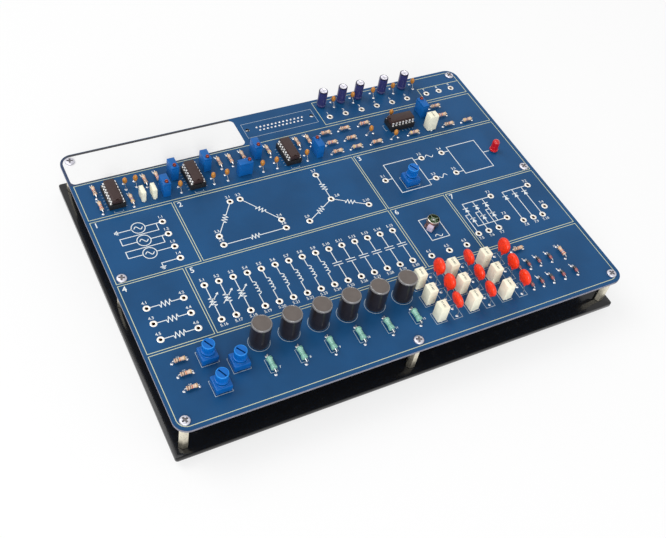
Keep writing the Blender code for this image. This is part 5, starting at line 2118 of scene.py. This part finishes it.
class TRAINER_OT_stage(bpy.types.Operator):
    """Set the floor, the soft lamps, the backdrop and the camera"""

    bl_idname = "trainer.stage"
    bl_label = "Stage"

    def lamp(self, name, power, place):
        """A square soft lamp that faces the trainer."""
        data = bpy.data.lights.new(name, "AREA")
        data.energy = power
        data.size = LAMP_SIZE
        obj = bpy.data.objects.new(name, data)
        obj.location = place
        away = Vector(place)
        obj.rotation_euler = away.to_track_quat("Z", "Y").to_euler()
        bpy.context.scene.collection.objects.link(obj)

    def execute(self, context):
        scene = context.scene
        settings = scene.trainer_stage
        bm = bmesh.new()
        bmesh.ops.create_grid(
            bm, x_segments=1, y_segments=1, size=4.0,
            matrix=Matrix.Translation((0, 0, -0.0001)),
        )
        mesh = as_mesh(bm, "floor")
        made = Finish("pale_floor")
        made.put("Specular IOR Level", 0.1)
        made.put("Base Color", made.mix(
            made.noise(6.0), settings.floor, shaded(settings.floor, 0.99)
        ))
        made.put("Roughness", 0.9)
        glow = made.add("ShaderNodeMath", {"operation": "MULTIPLY"}, {
            0: Value(made, seen_rays(made.tree)), 1: settings.glow,
        })
        white = made.add("ShaderNodeEmission")
        shown = made.add("ShaderNodeMixShader", {}, {
            0: glow, 1: Value(made, made.shader.outputs[0]), 2: white,
        })
        made.tree.links.new(
            shown.socket, made.tree.nodes["Material Output"].inputs[0]
        )
        mesh.materials.append(made.material)
        floor = bpy.data.objects.new("floor", mesh)
        scene.collection.objects.link(floor)

        self.lamp("key_lamp", settings.key, KEY_PLACE)
        self.lamp("fill_lamp", settings.fill, FILL_PLACE)

        world = bpy.data.worlds.new("soft_studio")
        world.use_nodes = True
        tree = world.node_tree
        back = tree.nodes["Background"].inputs
        back["Color"].default_value = WORLD_WHITE
        strength = tree.nodes.new("ShaderNodeMath")
        strength.operation = "MULTIPLY_ADD"
        strength.inputs[1].default_value = 1.0 - settings.sky
        strength.inputs[2].default_value = settings.sky
        tree.links.new(seen_rays(tree), strength.inputs[0])
        tree.links.new(strength.outputs[0], back["Strength"])
        scene.world = world
        scene.view_settings.view_transform = "Standard"

        data = bpy.data.cameras.new("camera")
        data.sensor_width = 36.0
        data.sensor_fit = "HORIZONTAL"
        data.lens = settings.lens
        data.shift_x, data.shift_y = CAMERA_SHIFT
        camera = bpy.data.objects.new("camera", data)
        camera.location = CAMERA_PLACE
        camera.rotation_euler = [math.radians(a) for a in CAMERA_TURN]
        scene.collection.objects.link(camera)
        scene.camera = camera
        return {"FINISHED"}


MAKERS = (
    TRAINER_OT_stage, TRAINER_OT_board_panel, TRAINER_OT_label_field,
    TRAINER_OT_section_frames, TRAINER_OT_circuit_symbols,
    TRAINER_OT_numbers, TRAINER_OT_terminals, TRAINER_OT_resistors,
    TRAINER_OT_diodes, TRAINER_OT_chokes, TRAINER_OT_drop_capacitors,
    TRAINER_OT_disc_capacitors, TRAINER_OT_film_capacitors,
    TRAINER_OT_inductors, TRAINER_OT_solder, TRAINER_OT_sockets,
    TRAINER_OT_chips, TRAINER_OT_trimmers, TRAINER_OT_pots,
    TRAINER_OT_electrolytics, TRAINER_OT_lamp, TRAINER_OT_motor,
    TRAINER_OT_connector, TRAINER_OT_base_plate, TRAINER_OT_feet,
    TRAINER_OT_standoffs, TRAINER_OT_board_screws,
)
SETTINGS = {
    "trainer_board": BoardSettings,
    "trainer_terminals": TerminalSettings,
    "trainer_parts": PartSettings,
    "trainer_base": BaseSettings,
    "trainer_stage": StageSettings,
}


class TRAINER_PT_makers(bpy.types.Panel):
    """Lists the trainer's settings and makers."""

    bl_idname = "TRAINER_PT_makers"
    bl_label = "Circuit Trainer"
    bl_space_type = "VIEW_3D"
    bl_region_type = "UI"
    bl_category = "Trainer"

    def draw(self, context):
        for name, group in SETTINGS.items():
            column = self.layout.column(align=True)
            for setting in group.__annotations__:
                column.prop(getattr(context.scene, name), setting)
        for maker in MAKERS:
            self.layout.operator(maker.bl_idname)


def register():
    """Make the settings and operators known."""
    for group in (*SETTINGS.values(), *MAKERS, TRAINER_PT_makers):
        bpy.utils.register_class(group)
    for name, group in SETTINGS.items():
        setattr(bpy.types.Scene, name, PointerProperty(type=group))


def unregister():
    """Take the settings and operators back out."""
    for name in SETTINGS:
        delattr(bpy.types.Scene, name)
    for group in (TRAINER_PT_makers, *MAKERS[::-1],
                  *reversed(SETTINGS.values())):
        bpy.utils.unregister_class(group)


def main():
    """Make every piece in turn."""
    register()
    for maker in MAKERS:
        getattr(bpy.ops.trainer, maker.bl_idname.split(".")[1])()


if __name__ == "__main__":
    main()
